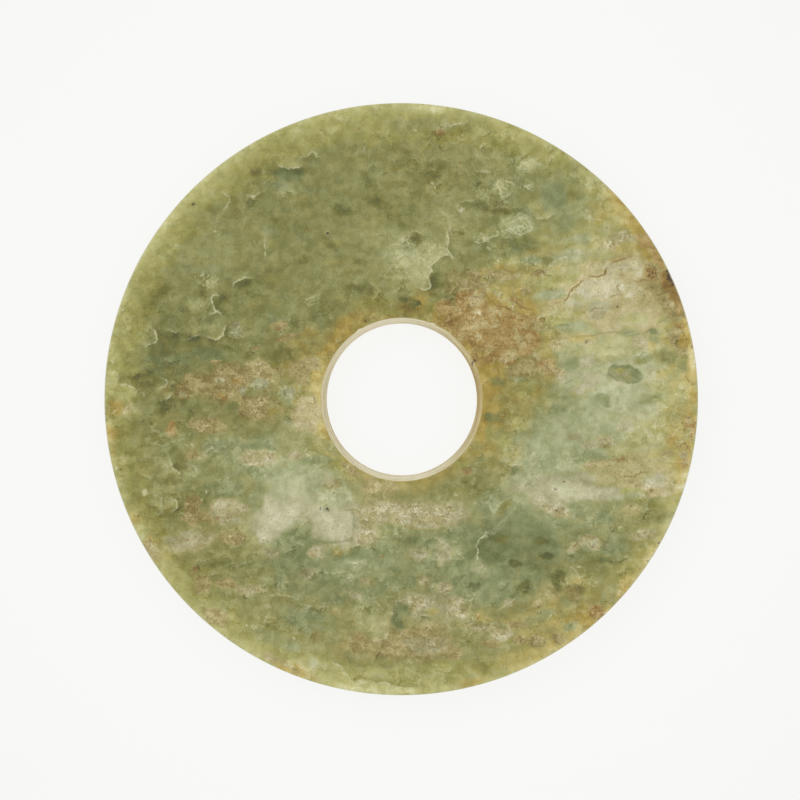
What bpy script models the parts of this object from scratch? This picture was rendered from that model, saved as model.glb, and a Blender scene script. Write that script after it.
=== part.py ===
"""Jade bi disc: one flat ring of nephrite, ground to a circle and bored from both faces.

Metres, +Z up. The disc lies on its underside, and the origin is the middle of that underside.
The bore runs along Z.
"""

import math

import bmesh
import bpy
from mathutils import Matrix, Vector

MM = 0.001
NODE = "bi_disc"

# The blank, before it is bored.
DISC_RADIUS = 90.0 * MM
THICKNESS = 12.0 * MM  # by the bore
CROWN_DROP = 0.9 * MM  # how far the upper face has fallen off at the rim
CROWN_POWER = 3.0  # the face is nearly flat by the bore, and falls off towards the rim
WEDGE = 0.35 * MM  # the slab is this much thicker at one side of its rim
WEDGE_TURN = math.radians(205)  # and this is the side
OVALITY = 0.11 * MM  # the radius is this much more along X, and this much less along Y
ARRIS = 0.55 * MM  # radius of the rim's two rounded arrises
RIM_BELLY = 0.25 * MM  # how far the rim's wall stands out between them
UNDERSIDE_FLAT_RADIUS = 80.0 * MM
UNDERSIDE_LIFT = 0.25 * MM  # the underside rolls up this much from there to the rim

# The bore, made by two tubular drills that met inside the stone.
BORE_CENTRE = Vector((0.15 * MM, -0.12 * MM, 0))
LOWER_DRILL_SHIFT = Vector((0.26 * MM, 0.16 * MM, 0))  # its axis against the upper drill's
WAIST_HEIGHT = 5.0 * MM  # where they met, above the underside
UPPER_WAIST_RADIUS = 22.9 * MM
LOWER_WAIST_RADIUS = 23.3 * MM
MOUTH_RADIUS = 24.35 * MM  # at both faces, inside the chamfer
MOUTH_CHAMFER = 0.45 * MM
DRILL_OVERLAP = 0.4 * MM  # each drill went this far past the waist

# Small chips out of the upper arrises, as angles round the disc in degrees, and lengths
# in millimetres along the edge, in from it and down from the face.
RIM_CHIPS = (
    ("east", 24.2, 2.0, 0.5, 1.1),
    ("far_east", 10.2, 1.1, 0.3, 0.6),
    ("west", 182.6, 1.0, 0.35, 0.6),
    ("south_west", 217.4, 1.2, 0.35, 0.7),
)
MOUTH_CHIPS = (
    ("north_east", 67.6, 1.1, 0.5, 0.7),
    ("north_west", 121.7, 1.2, 0.4, 0.6),
    ("east", 27.4, 0.8, 0.4, 0.6),
)

# Facets.
TURN_STEPS = 144
BORE_STEPS = 96
ARRIS_STEPS = 5
FACE_RINGS = 6
WALL_RINGS = 5
CUTTER_CLEARANCE = 1.0 * MM  # how far a drill's cutter reaches outside the face

JADE_COLOUR = (0.33, 0.31, 0.13, 1.0)
JADE_ROUGHNESS = 0.38
SHARP_ANGLE = math.radians(30)


def clear_scene():
    for old in list(bpy.data.objects):
        bpy.data.objects.remove(old, do_unlink=True)


def new_collection(name):
    collection = bpy.data.collections.new(name)
    bpy.context.scene.collection.children.link(collection)
    return collection


def jade():
    material = bpy.data.materials.new("jade")
    material.use_nodes = True
    shader = material.node_tree.nodes["Principled BSDF"]
    shader.inputs["Base Color"].default_value = JADE_COLOUR
    shader.inputs["Roughness"].default_value = JADE_ROUGHNESS
    shader.inputs["Metallic"].default_value = 0.0
    return material


def thicker_share(x, y):
    """How much thicker the slab is over this point than midway, as a share of its height."""
    across = (x * math.cos(WEDGE_TURN) + y * math.sin(WEDGE_TURN)) / DISC_RADIUS
    return WEDGE * across / THICKNESS


def upper_height(radius):
    return THICKNESS - CROWN_DROP * (radius / DISC_RADIUS) ** CROWN_POWER


def face_height(x, y):
    """Height of the upper face over this point, with the slab's thicker side."""
    return upper_height(math.hypot(x, y)) * (1 + thicker_share(x, y))


def arc(centre_r, centre_z, radius, start, end, steps):
    """Points along an arc of the section, between two angles above the horizontal."""
    angles = (math.radians(start + (end - start) * i / steps) for i in range(steps + 1))
    return [(centre_r + radius * math.cos(a), centre_z + radius * math.sin(a)) for a in angles]


def blank_profile():
    """Half section of the unbored disc, from the top of its axis round the rim to the foot."""
    edge = DISC_RADIUS - RIM_BELLY - ARRIS
    inner = MOUTH_RADIUS + 2 * MOUTH_CHAMFER
    rings = [inner + (edge - inner) * i / FACE_RINGS for i in range(FACE_RINGS)]
    face = [(0.0, upper_height(0.0))] + [(r, upper_height(r)) for r in rings]
    top = upper_height(edge) - ARRIS
    foot = UNDERSIDE_LIFT + ARRIS
    wall = []
    for i in range(1, WALL_RINGS):
        share = i / WALL_RINGS
        belly = RIM_BELLY * math.sin(math.pi * share)
        wall.append((edge + ARRIS + belly, top + (foot - top) * share))
    upper_arris = arc(edge, top, ARRIS, 90, 0, ARRIS_STEPS)
    lower_arris = arc(edge, foot, ARRIS, 0, -90, ARRIS_STEPS)
    underside = [(UNDERSIDE_FLAT_RADIUS, 0.0), (0.0, 0.0)]
    return face + upper_arris + wall + lower_arris + underside


def drill_profile(waist_radius, mouth_height, waist_height):
    """Half section of one drilling, from outside the face down to just past the waist."""
    slope = (MOUTH_RADIUS - waist_radius) / (mouth_height - waist_height)
    beyond = mouth_height + CUTTER_CLEARANCE
    foot = waist_height - DRILL_OVERLAP
    return [
        (0.0, beyond),
        (MOUTH_RADIUS + MOUTH_CHAMFER + CUTTER_CLEARANCE, beyond),
        (MOUTH_RADIUS - slope * MOUTH_CHAMFER, mouth_height - MOUTH_CHAMFER),
        (waist_radius - slope * DRILL_OVERLAP, foot),
        (0.0, foot),
    ]


def turned(name, profile, steps, collection):
    """A closed solid turned round Z from a half section that runs from its top to its foot."""
    outline = bpy.data.meshes.new(name + "_profile")
    points = [(r, 0.0, z) for r, z in profile]
    outline.from_pydata(points, [(i, i + 1) for i in range(len(points) - 1)], [])
    solid = bpy.data.objects.new(name, outline)
    collection.objects.link(solid)
    screw = solid.modifiers.new("turned", "SCREW")
    screw.axis = "Z"
    screw.angle = math.tau
    screw.steps = steps
    screw.render_steps = steps
    screw.use_merge_vertices = True
    screw.merge_threshold = 0.01 * MM
    graph = bpy.context.evaluated_depsgraph_get()
    mesh = bpy.data.meshes.new_from_object(solid.evaluated_get(graph))
    solid.modifiers.clear()
    solid.data = mesh
    bpy.data.meshes.remove(outline)
    return solid


def make_uneven(disc):
    """Gives the turned blank its slightly oval outline and its thicker side."""
    for vertex in disc.data.vertices:
        x, y, z = vertex.co
        share = thicker_share(x, y)
        radius = math.hypot(x, y)
        if radius > 0:
            stretch = OVALITY * (x * x - y * y) / (radius**2 * DISC_RADIUS)
            vertex.co.x = x * (1 + stretch)
            vertex.co.y = y * (1 + stretch)
        vertex.co.z = z * (1 + share)


def drill_cutters(collection):
    """The two drillings, one from above and one from below."""
    upper = turned(
        "upper_drilling",
        drill_profile(UPPER_WAIST_RADIUS, THICKNESS, WAIST_HEIGHT),
        BORE_STEPS,
        collection,
    )
    upper.location = BORE_CENTRE
    lower = turned(
        "lower_drilling",
        drill_profile(LOWER_WAIST_RADIUS, WAIST_HEIGHT, 0.0),
        BORE_STEPS,
        collection,
    )
    lower.rotation_euler.x = math.pi
    lower.location = BORE_CENTRE + LOWER_DRILL_SHIFT + Vector((0, 0, WAIST_HEIGHT))
    return [upper, lower]


def chip_cutter(name, centre, edge, inward, angle, length, reach, depth, collection):
    """A rounded bite out of an upper arris, which runs round centre at the distance edge.

    inward is the way into the stone from there: -1 towards the centre, 1 away from it."""
    turn = Matrix.Rotation(math.radians(angle), 4, "Z")
    middle = centre + turn @ Vector((edge, 0, 0))
    middle.z = face_height(middle.x, middle.y)
    middle += turn @ Vector((-inward * reach * MM, 0, 0))
    bite = bmesh.new()
    bmesh.ops.create_icosphere(bite, subdivisions=2, radius=1.0)
    bmesh.ops.scale(bite, vec=Vector((2 * reach, length, depth)) * MM, verts=bite.verts)
    bmesh.ops.transform(bite, matrix=Matrix.Translation(middle) @ turn, verts=bite.verts)
    mesh = bpy.data.meshes.new(name)
    bite.to_mesh(mesh)
    bite.free()
    cutter = bpy.data.objects.new(name, mesh)
    collection.objects.link(cutter)
    return cutter


def chip_cutters(collection):
    cutters = []
    for name, *sizes in RIM_CHIPS:
        centre = Vector((0, 0, 0))
        cutters.append(
            chip_cutter("rim_chip_" + name, centre, DISC_RADIUS, -1, *sizes, collection)
        )
    for name, *sizes in MOUTH_CHIPS:
        edge = MOUTH_RADIUS + MOUTH_CHAMFER
        cutters.append(
            chip_cutter("mouth_chip_" + name, BORE_CENTRE, edge, 1, *sizes, collection)
        )
    return cutters


def cut(solid, cutter):
    cutter.hide_render = True
    cutter.display_type = "WIRE"
    boolean = solid.modifiers.new(cutter.name, "BOOLEAN")
    boolean.operation = "DIFFERENCE"
    boolean.solver = "EXACT"
    boolean.object = cutter


def build():
    clear_scene()
    pieces = new_collection("jade_bi_disc")
    cutters = new_collection("cutters")
    disc = turned(NODE, blank_profile(), TURN_STEPS, pieces)
    make_uneven(disc)
    disc.data.materials.append(jade())
    disc.data.shade_smooth()
    disc.data.set_sharp_from_angle(angle=SHARP_ANGLE)
    for cutter in drill_cutters(cutters) + chip_cutters(cutters):
        cut(disc, cutter)


build()
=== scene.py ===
"""Looks of the jade bi disc: the polished stone with its colour zones, ledges, veins and inclusions.

The disc is turned again with many more facets than its solid has, and it stands for that solid.
Every place on the face is in millimetres from the disc's middle, X to the right and Y up the
face. Painted fields in the mesh say which kind of stone is where, and the material says what
each kind looks like.
"""

import math
from types import SimpleNamespace

import bmesh
import bpy
import numpy as np
from mathutils import Matrix, Vector, noise


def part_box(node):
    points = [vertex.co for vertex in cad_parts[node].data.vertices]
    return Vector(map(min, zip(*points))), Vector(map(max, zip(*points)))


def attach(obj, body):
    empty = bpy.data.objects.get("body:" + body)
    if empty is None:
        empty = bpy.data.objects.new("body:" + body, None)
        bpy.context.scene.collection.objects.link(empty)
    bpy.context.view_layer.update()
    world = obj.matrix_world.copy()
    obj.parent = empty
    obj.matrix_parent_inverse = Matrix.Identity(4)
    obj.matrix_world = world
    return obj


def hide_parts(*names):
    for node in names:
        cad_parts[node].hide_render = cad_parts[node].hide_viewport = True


MM = 0.001

# ---------------------------------------------------------------- the disc's section

THICKNESS = 12.0  # in the middle of the wedge
CROWN_DROP = 0.9  # how far the upper face has fallen off at the rim
CROWN_POWER = 3.0
WEDGE = 0.35  # the slab is this much thicker at one side of its rim
WEDGE_TURN = math.radians(205)
ARRIS = 0.55
RIM_BELLY = 0.25
UNDERSIDE_FLAT_RADIUS = 80.0
UNDERSIDE_LIFT = 0.25
BORE_CENTRE = (0.15, -0.12)
LOWER_DRILL_SHIFT = (0.26, 0.16)
WAIST_HEIGHT = 5.4
WAIST_BEVEL = 0.08
UPPER_WAIST_RADIUS = 22.97
LOWER_WAIST_RADIUS = 23.26
MOUTH_RADIUS = 24.35
MOUTH_CHAMFER = 0.45
BORE_OVALITY = (-0.18, 0.12)  # how much wider the bore is along X and along Y
BORE_FREE_RADIUS = 40.0  # from here out the face is centred on the disc, not on the bore
BORE_OWN_RADIUS = MOUTH_RADIUS + 1.0  # from here in it is centred on the bore
HAIR = 0.001  # a length that makes no difference

SPIN_STEPS = 432
INNER_RINGS = 38
OUTER_RINGS = 56
FINE_RADIUS = 50.0  # outside this the facets are halved round the disc
UNDERSIDE_RINGS = 20
ARRIS_STEPS = 5
CHAMFER_STEPS = 3
WALL_RINGS = 8
LOWER_BORE_RINGS = 7
UPPER_BORE_RINGS = 14
SHARP_ANGLE = math.radians(40)

DRILL_GROOVE = 0.02  # depth of the rings that the drill left in the bore
DRILL_PITCH = 0.9
WAVINESS = 0.03  # how far the polished face strays from true
WAVE_SIZE = 22.0
WAVE_SINK = 0.6  # how far the waves are set below the true face, as a share of WAVINESS
PIT_DEPTH = 0.10  # of the pits in the weathered patches
PIT_SIZE = 1.6
PIT_NOISE = (0.1, 0.7)  # where the noise starts a pit, and where the pit has its whole depth
UNWORN = 0.1  # how far from an arris the wear stops
PITTED_FROM = 0.3  # how weathered the stone is where the pits start

# Small chips out of the upper arrises: angle, then length along the edge, reach in from it
# and depth below the face.
RIM_CHIPS = (
    (24.2, 2.0, 0.5, 1.1),
    (10.2, 1.1, 0.3, 0.6),
    (182.6, 1.0, 0.35, 0.6),
    (217.4, 1.2, 0.35, 0.7),
)
MOUTH_CHIPS = (
    (67.6, 1.1, 0.5, 0.7),
    (121.7, 1.2, 0.4, 0.6),
    (27.4, 0.8, 0.4, 0.6),
)

# ---------------------------------------------------------------- kinds of stone

# A hue is how far its red stands over its green and its blue under it, on a scale of 255,
# at each of these depths of green.
GREENS = (84, 120, 150, 180, 215)
HUES = {
    "olive": ((-2, -44), (1, -50), (1, -51), (2, -49), (4, -40)),
    "lime": ((2, -48), (4, -59), (3, -62), (3, -61), (2, -48)),
    "sea": ((-7, -38), (-7, -41), (-6, -44), (-4, -42), (-3, -34)),
    "amber": ((20, -54), (20, -63), (20, -68), (18, -67), (10, -50)),
    "tan": ((12, -40), (12, -47), (12, -50), (12, -48), (8, -40)),
    "rust": ((26, -44), (26, -52), (24, -55), (19, -51), (10, -42)),
    "cream": ((2, -36), (2, -40), (2, -39), (3, -36), (6, -30)),
}
HUE_FIELDS = ("lime", "sea", "amber", "tan", "rust", "cream")
GROUND_LIGHT = 138.0
RAMP_STOPS = 9
SHEEN_VEIL = 0.0436  # the light that the polish adds to every colour
BODY_LIGHT = 0.945  # the light on the stone under it

# What a patch of each finish lays down, in shares of a hue, and how soft its edge is.
FINISHES = {
    "olive": {},
    "lime": {"lime": 1.0},
    "sea": {"sea": 1.0},
    "cool": {"sea": 0.13},
    "thin_sea": {"sea": 0.25, "cream": 0.1},
    "mid_sea": {"sea": 0.65},
    "fern": {"sea": 0.5, "lime": 0.4},
    "pear": {"lime": 0.7, "cream": 0.3},
    "milk": {"sea": 0.75, "cream": 0.3, "lime": 0.15},
    "mist": {"sea": 0.5, "cream": 0.7},
    "cream": {"cream": 1.0},
    "beige": {"cream": 0.42, "tan": 0.62},
    "oatmeal": {"cream": 0.55, "tan": 0.35},
    "straw": {"amber": 0.3, "cream": 0.25, "tan": 0.7},
    "tan": {"tan": 0.9, "rust": 0.1},
    "brown": {"amber": 0.5, "tan": 0.3, "rust": 0.8},
    "fawn": {"amber": 0.3, "tan": 0.7, "rust": 0.5},
    "gold": {"lime": 1.0, "amber": 0.45},
    "rust": {"rust": 1.0},
    "amber": {"amber": 1.0},
    "honey": {"amber": 0.5, "lime": 0.2},
    "khaki": {"tan": 0.4, "cream": 0.15, "amber": 0.2},
}
EDGES = {"broad": 0.8, "soft": 0.6, "even": 0.5, "plain": 0.35, "crisp": 0.15}

# ---------------------------------------------------------------- how the pattern lies in the stone

DEPTH_LEAN = (0.3, 0.45)  # the pattern leans this far across the face for each millimetre of depth
DEPTH_STRETCH = 0.8  # how much faster than across the face the warp changes downwards
UNDERSIDE_DEPTHS = (1.0, 9.0)  # between these depths the face's own lines and dots run out
PLAINER = 0.35  # how much of its contrast is lost on the underside
BORE_LEAN = (1.1, 1.4)  # how much more it leans down the bore, where the drill drew it out
BORE_STRETCH = 0.75
BORE_BAND = (0.38, 0.15)  # the bore's finish sets in between these distances outside its mouth
ARRIS_HIGHLIGHT_BAND = (0.75, 0.25)  # the rim's painted highlight sets in between these distances inside its edge

# The noise that pushes patches about, wide along X and Y and then fine along both: its size,
# its reach and its seed.
WARPS = ((5.0, 1.6, 1), (5.0, 1.3, 2), (1.9, 0.75, 4), (1.9, 0.6, 5))
WARPED_WIDTH = 4.0  # a patch of this half width or more is pushed by all of the wide noise
INCLUSION_WARP = 0.3  # how much of the wide noise pushes the crisp inclusions
JITTER = 0.7  # how much of the fine noise pushes the lines

# Light through the rim: how much lighter, and the radii between which it sets in. The first
# two are ragged.
RIM_GLOWS = ((3, 78.0, 86.0), (9, 85.0, 88.5), (16, 86.8, 89.6))
RIM_LIME = (0.75, 76.0, 86.0)
GLOW_RAGGED = 0.8
HALO_RADII = (31.0, 25.5)  # of the halo round the bore
HALO_LIGHT = 3
HALO_AMBER = 0.5
HALO_SEA_LOSS = 0.7

LINE_REACH = 5.0  # how far outside its points' box a line is still felt
LINE_TAPER = 1.6  # the length over which a line sets in at its ends
LINE_END = 0.25  # its strength at the very end
LINE_HALF_WIDTHS = (1.5, 0.9)  # between these distances from its middle a line gains its strength
LINE_FAR = 2.0  # all places further off than this count as this far
NO_LINE = 9.0
LEDGE_PAINTED_LIGHT = (22, 1.6)  # painted light: how much paler a ledge is on its pale side, and how far that is felt
LEDGE_PAINTED_SHADE = (21, 1.4)  # painted shade: how much darker on the other
RING_POINTS = 16
DOT_EDGE = 0.5
DOT_BORE_LOSS = 0.8

# The bore's wall is this light. Then how much lighter it is at the top, the right and the left of the
# face, as painted light at the top and stain at the right and the left, and how much lighter its lower
# part is, all round and at those three, which is painted shade deeper in the bore.
WALL_LIGHT = 206
WALL_SIDE_LIGHT_AND_STAIN = (6, -32, -4)
WALL_SHADE_DEPTHS = (2.2, 3.8)  # the depths between which the lower part's painted shade sets in
WALL_LOW_SHADE = -4
WALL_LOW_SIDE_SHADE = (-8, -18, -14)
WALL_RIGHT_TURN = 0.25  # the stain at the right is turned this far, in radians

# ---------------------------------------------------------------- the pattern on the face

# A finish, then its patches: x, y, half length, half width and light, which is the green of the
# stone there on a scale of 255. A patch that isn't level ends with its turn in degrees. Later
# patches lie over earlier ones.

BROAD = (
    # upper left: even olive, darker towards the bore's level
    ("cool", (-62, 46, 12, 9, 146, 40), (-34, 52, 7, 10, 130, 20), (-20, 62, 16, 12, 139),
        (-62, 24, 26, 12, 131, 8), (-45, 37, 8, 5, 128), (-24, 40, 16, 8, 139)),
    ("thin_sea", (-35, 64, 12, 6, 133, 15), (-68, 14, 20, 8, 124, 5), (-36, 26, 10, 5, 139)),
    ("cool", (-24, 27, 6, 5, 131), (-74, 2, 13, 7, 126), (-60, 0, 20, 7, 130)),
    # upper middle, and the yellower stone along the rim to the left of it
    ("olive", (4, 76, 10, 6, 133), (22, 76, 14, 6, 146, -10), (8, 64, 9, 8, 134), (20, 66, 9, 6, 137),
        (14, 54, 8, 7, 149), (-2, 56, 7, 5, 134)),
    ("lime", (40, 76, 13, 4, 156, -28), (-4, 83, 26, 5, 157), (-38, 76, 18, 5, 152, 28),
        (-56, 66, 14, 5, 158, 40), (-72, 50, 15, 5, 160, 55), (-83, 24, 5, 16, 152, -15),
        (-85, 2, 5, 14, 150), (-84, -18, 5, 14, 145, 12)),
    # sea green of the upper right
    ("fern", (48, 58, 12, 10, 150, 10), (34, 47, 9, 7, 142)),
    ("thin_sea", (27, 61, 8, 5, 136), (36, 67, 9, 5, 144), (3, 45, 11, 8, 157)),
    ("olive", (58, 57, 7, 7, 156), (4, 36, 8, 4, 148), (17, 36, 6, 6, 138)),
    ("honey", (66, 56, 5, 9, 160, 40)),
    # the pale right
    ("lime", (54, 46, 13, 7, 168, 15)), ("straw", (68, 43, 10, 7, 160, 15)),
    ("honey", (45, 42, 9, 5, 155, 10)), ("khaki", (52, 33, 12, 8, 184, 12)),
    ("straw", (65, 33, 12, 8, 181, 12), (68, 40, 9, 6, 170, 10)), ("khaki", (58, 22, 17, 7, 178, 10)),
    ("milk", (64, 6, 18, 10, 180, -5)), ("straw", (72, 26, 11, 8, 173, 10)),
    ("sea", (54, -8, 14, 8, 164, 10)), ("milk", (76, 12, 7, 6, 182)), ("pear", (79, 0, 7, 8, 180)),
    ("milk", (68, -6, 12, 8, 180)), ("sea", (42, -18, 9, 8, 169)), ("pear", (76, -11, 8, 7, 179)),
    ("straw", (73, -22, 13, 6, 178, 8)), ("cream", (46, -27.6, 13, 4, 180, -3)),
    ("sea", (55, -16, 9, 5, 161, 10)), ("honey", (44, 6, 6, 8, 148)),
    # brown stone by the bore
    ("brown", (21.6, 22, 11.6, 8.4, 142, 20), (32, 15, 11, 9, 139), (35, 24, 7, 6, 137)),
    ("straw", (26, 35, 12, 4, 148, 5)), ("honey", (41, 31.5, 5, 2.6, 158, 5), (36, 33, 7, 5, 156, -20)),
    ("straw", (43, 15, 6, 8, 152)), ("amber", (28, 4, 5, 9, 143)),
    ("honey", (35, 4, 5, 7, 143), (29, -11, 6, 8, 149)),
    # left of the bore
    ("tan", (-50, 5, 14, 5, 140, 2)), ("honey", (-32, 12, 9, 5, 133), (-30, 3, 7, 8, 150)),
    ("beige", (-27, -3, 4, 7, 178)), ("tan", (-45, -4, 8, 4, 139)),
    # lower left
    ("olive", (-72, -12, 11, 6, 138), (-55, -8, 14, 4, 132)), ("sea", (-42, -17, 14, 6, 158, 4)),
    ("thin_sea", (-62, -18, 10, 7, 143)), ("olive", (-72, -27, 12, 7, 141), (-30, -13, 7, 4, 158)),
    ("thin_sea", (-56, -27, 8, 5, 144)), ("olive", (-66, -37, 12, 5, 134)),
    ("milk", (-34, -30, 13, 8, 184, 45)), ("cream", (-37, -36, 8, 6, 190, 50)),
    ("milk", (-21, -25, 9, 4, 166, 5)), ("cream", (-21, -38, 9, 7, 188)),
    ("beige", (-5, -35, 14, 5, 168), (8, -36, 15, 4, 163)),
    ("khaki", (-4, -25, 9, 3, 160, 5), (-64, -43, 16, 4, 151, 8)),
    ("olive", (7, -27, 11, 3, 141, -8), (-56, -50, 14, 6, 135, 10)),
    ("lime", (-68, -54, 11, 4, 150, -45), (-78, -42, 5, 8, 154, 25)),
    # lower middle: dark green with cloudy bands
    ("sea", (-32, -47, 8, 9, 140)), ("mid_sea", (-24, -55, 14, 7, 138)),
    ("sea", (-12, -50, 12, 5, 151)), ("mid_sea", (2, -44, 10, 5, 145)), ("sea", (15, -46, 8, 6, 152)),
    ("mid_sea", (-2, -56, 10, 6, 141), (12, -55, 8, 5, 143)), ("thin_sea", (-20, -66, 18, 7, 140)),
    ("olive", (-46, -62, 9, 6, 146, -35)), ("oatmeal", (6, -63, 10, 5, 156), (18, -64, 8, 5, 161)),
    ("khaki", (-6, -74, 22, 6, 149)), ("tan", (6, -74, 10, 4.5, 147)),
    ("sea", (33, -43, 14, 11, 135), (26, -56, 10, 6, 147)), ("mid_sea", (36, -55, 9, 6, 140, 10)),
    ("khaki", (46, -60, 8, 4, 146, 20)), ("sea", (35, -33, 10, 4.5, 158), (48, -35, 12, 5, 158, 8)),
    ("mid_sea", (62, -35, 10, 5, 154, 8), (54, -45, 12, 5, 141, 10)),
    ("olive", (71, -38, 11, 6, 149, 15), (64, -51, 11, 8, 147, 35)),
    ("mid_sea", (64, -45, 7, 4, 143, 20)), ("honey", (77, -50, 5, 8, 156, -35)),
    # bottom and the lower right rim
    ("olive", (28, -66, 9, 5, 145)), ("honey", (44, -66, 11, 5, 153, 20), (40, -76, 16, 5, 157, 22)),
    ("amber", (60, -64, 10, 4, 154, 42)), ("olive", (20, -76, 10, 5, 149)),
    ("lime", (10, -85, 20, 4, 160, 3), (-22, -84, 14, 4, 173, -12), (-42, -76, 14, 4, 162, -30),
        (-58, -66, 9, 4, 156, -42), (83, -35, 4, 6, 158, -20)), ("olive", (-32, -73, 9, 4, 153, -15)),
    ("honey", (86, -20, 3.5, 7, 172, -10)),
    # stained rim on the right
    ("amber", (75.5, 47, 10, 4.5, 154, -55)), ("tan", (80, 36, 6, 7, 150, -65)),
    ("amber", (85, 24, 5, 9, 152, 15)), ("honey", (84, 10, 4, 8, 165, 5)),
    ("amber", (88, 12, 1.8, 8, 160)), ("honey", (84, -9, 4.5, 10, 162, -6)),
    # rim of the bore
    ("gold", (-24.8, 5, 3.2, 7, 180, 4), (-24.4, -7.6, 2, 3, 174)), ("honey", (-18, 21, 9, 3, 140, 42)),
    ("lime", (-20, -18, 9, 2.6, 156, -45)),
)

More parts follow.
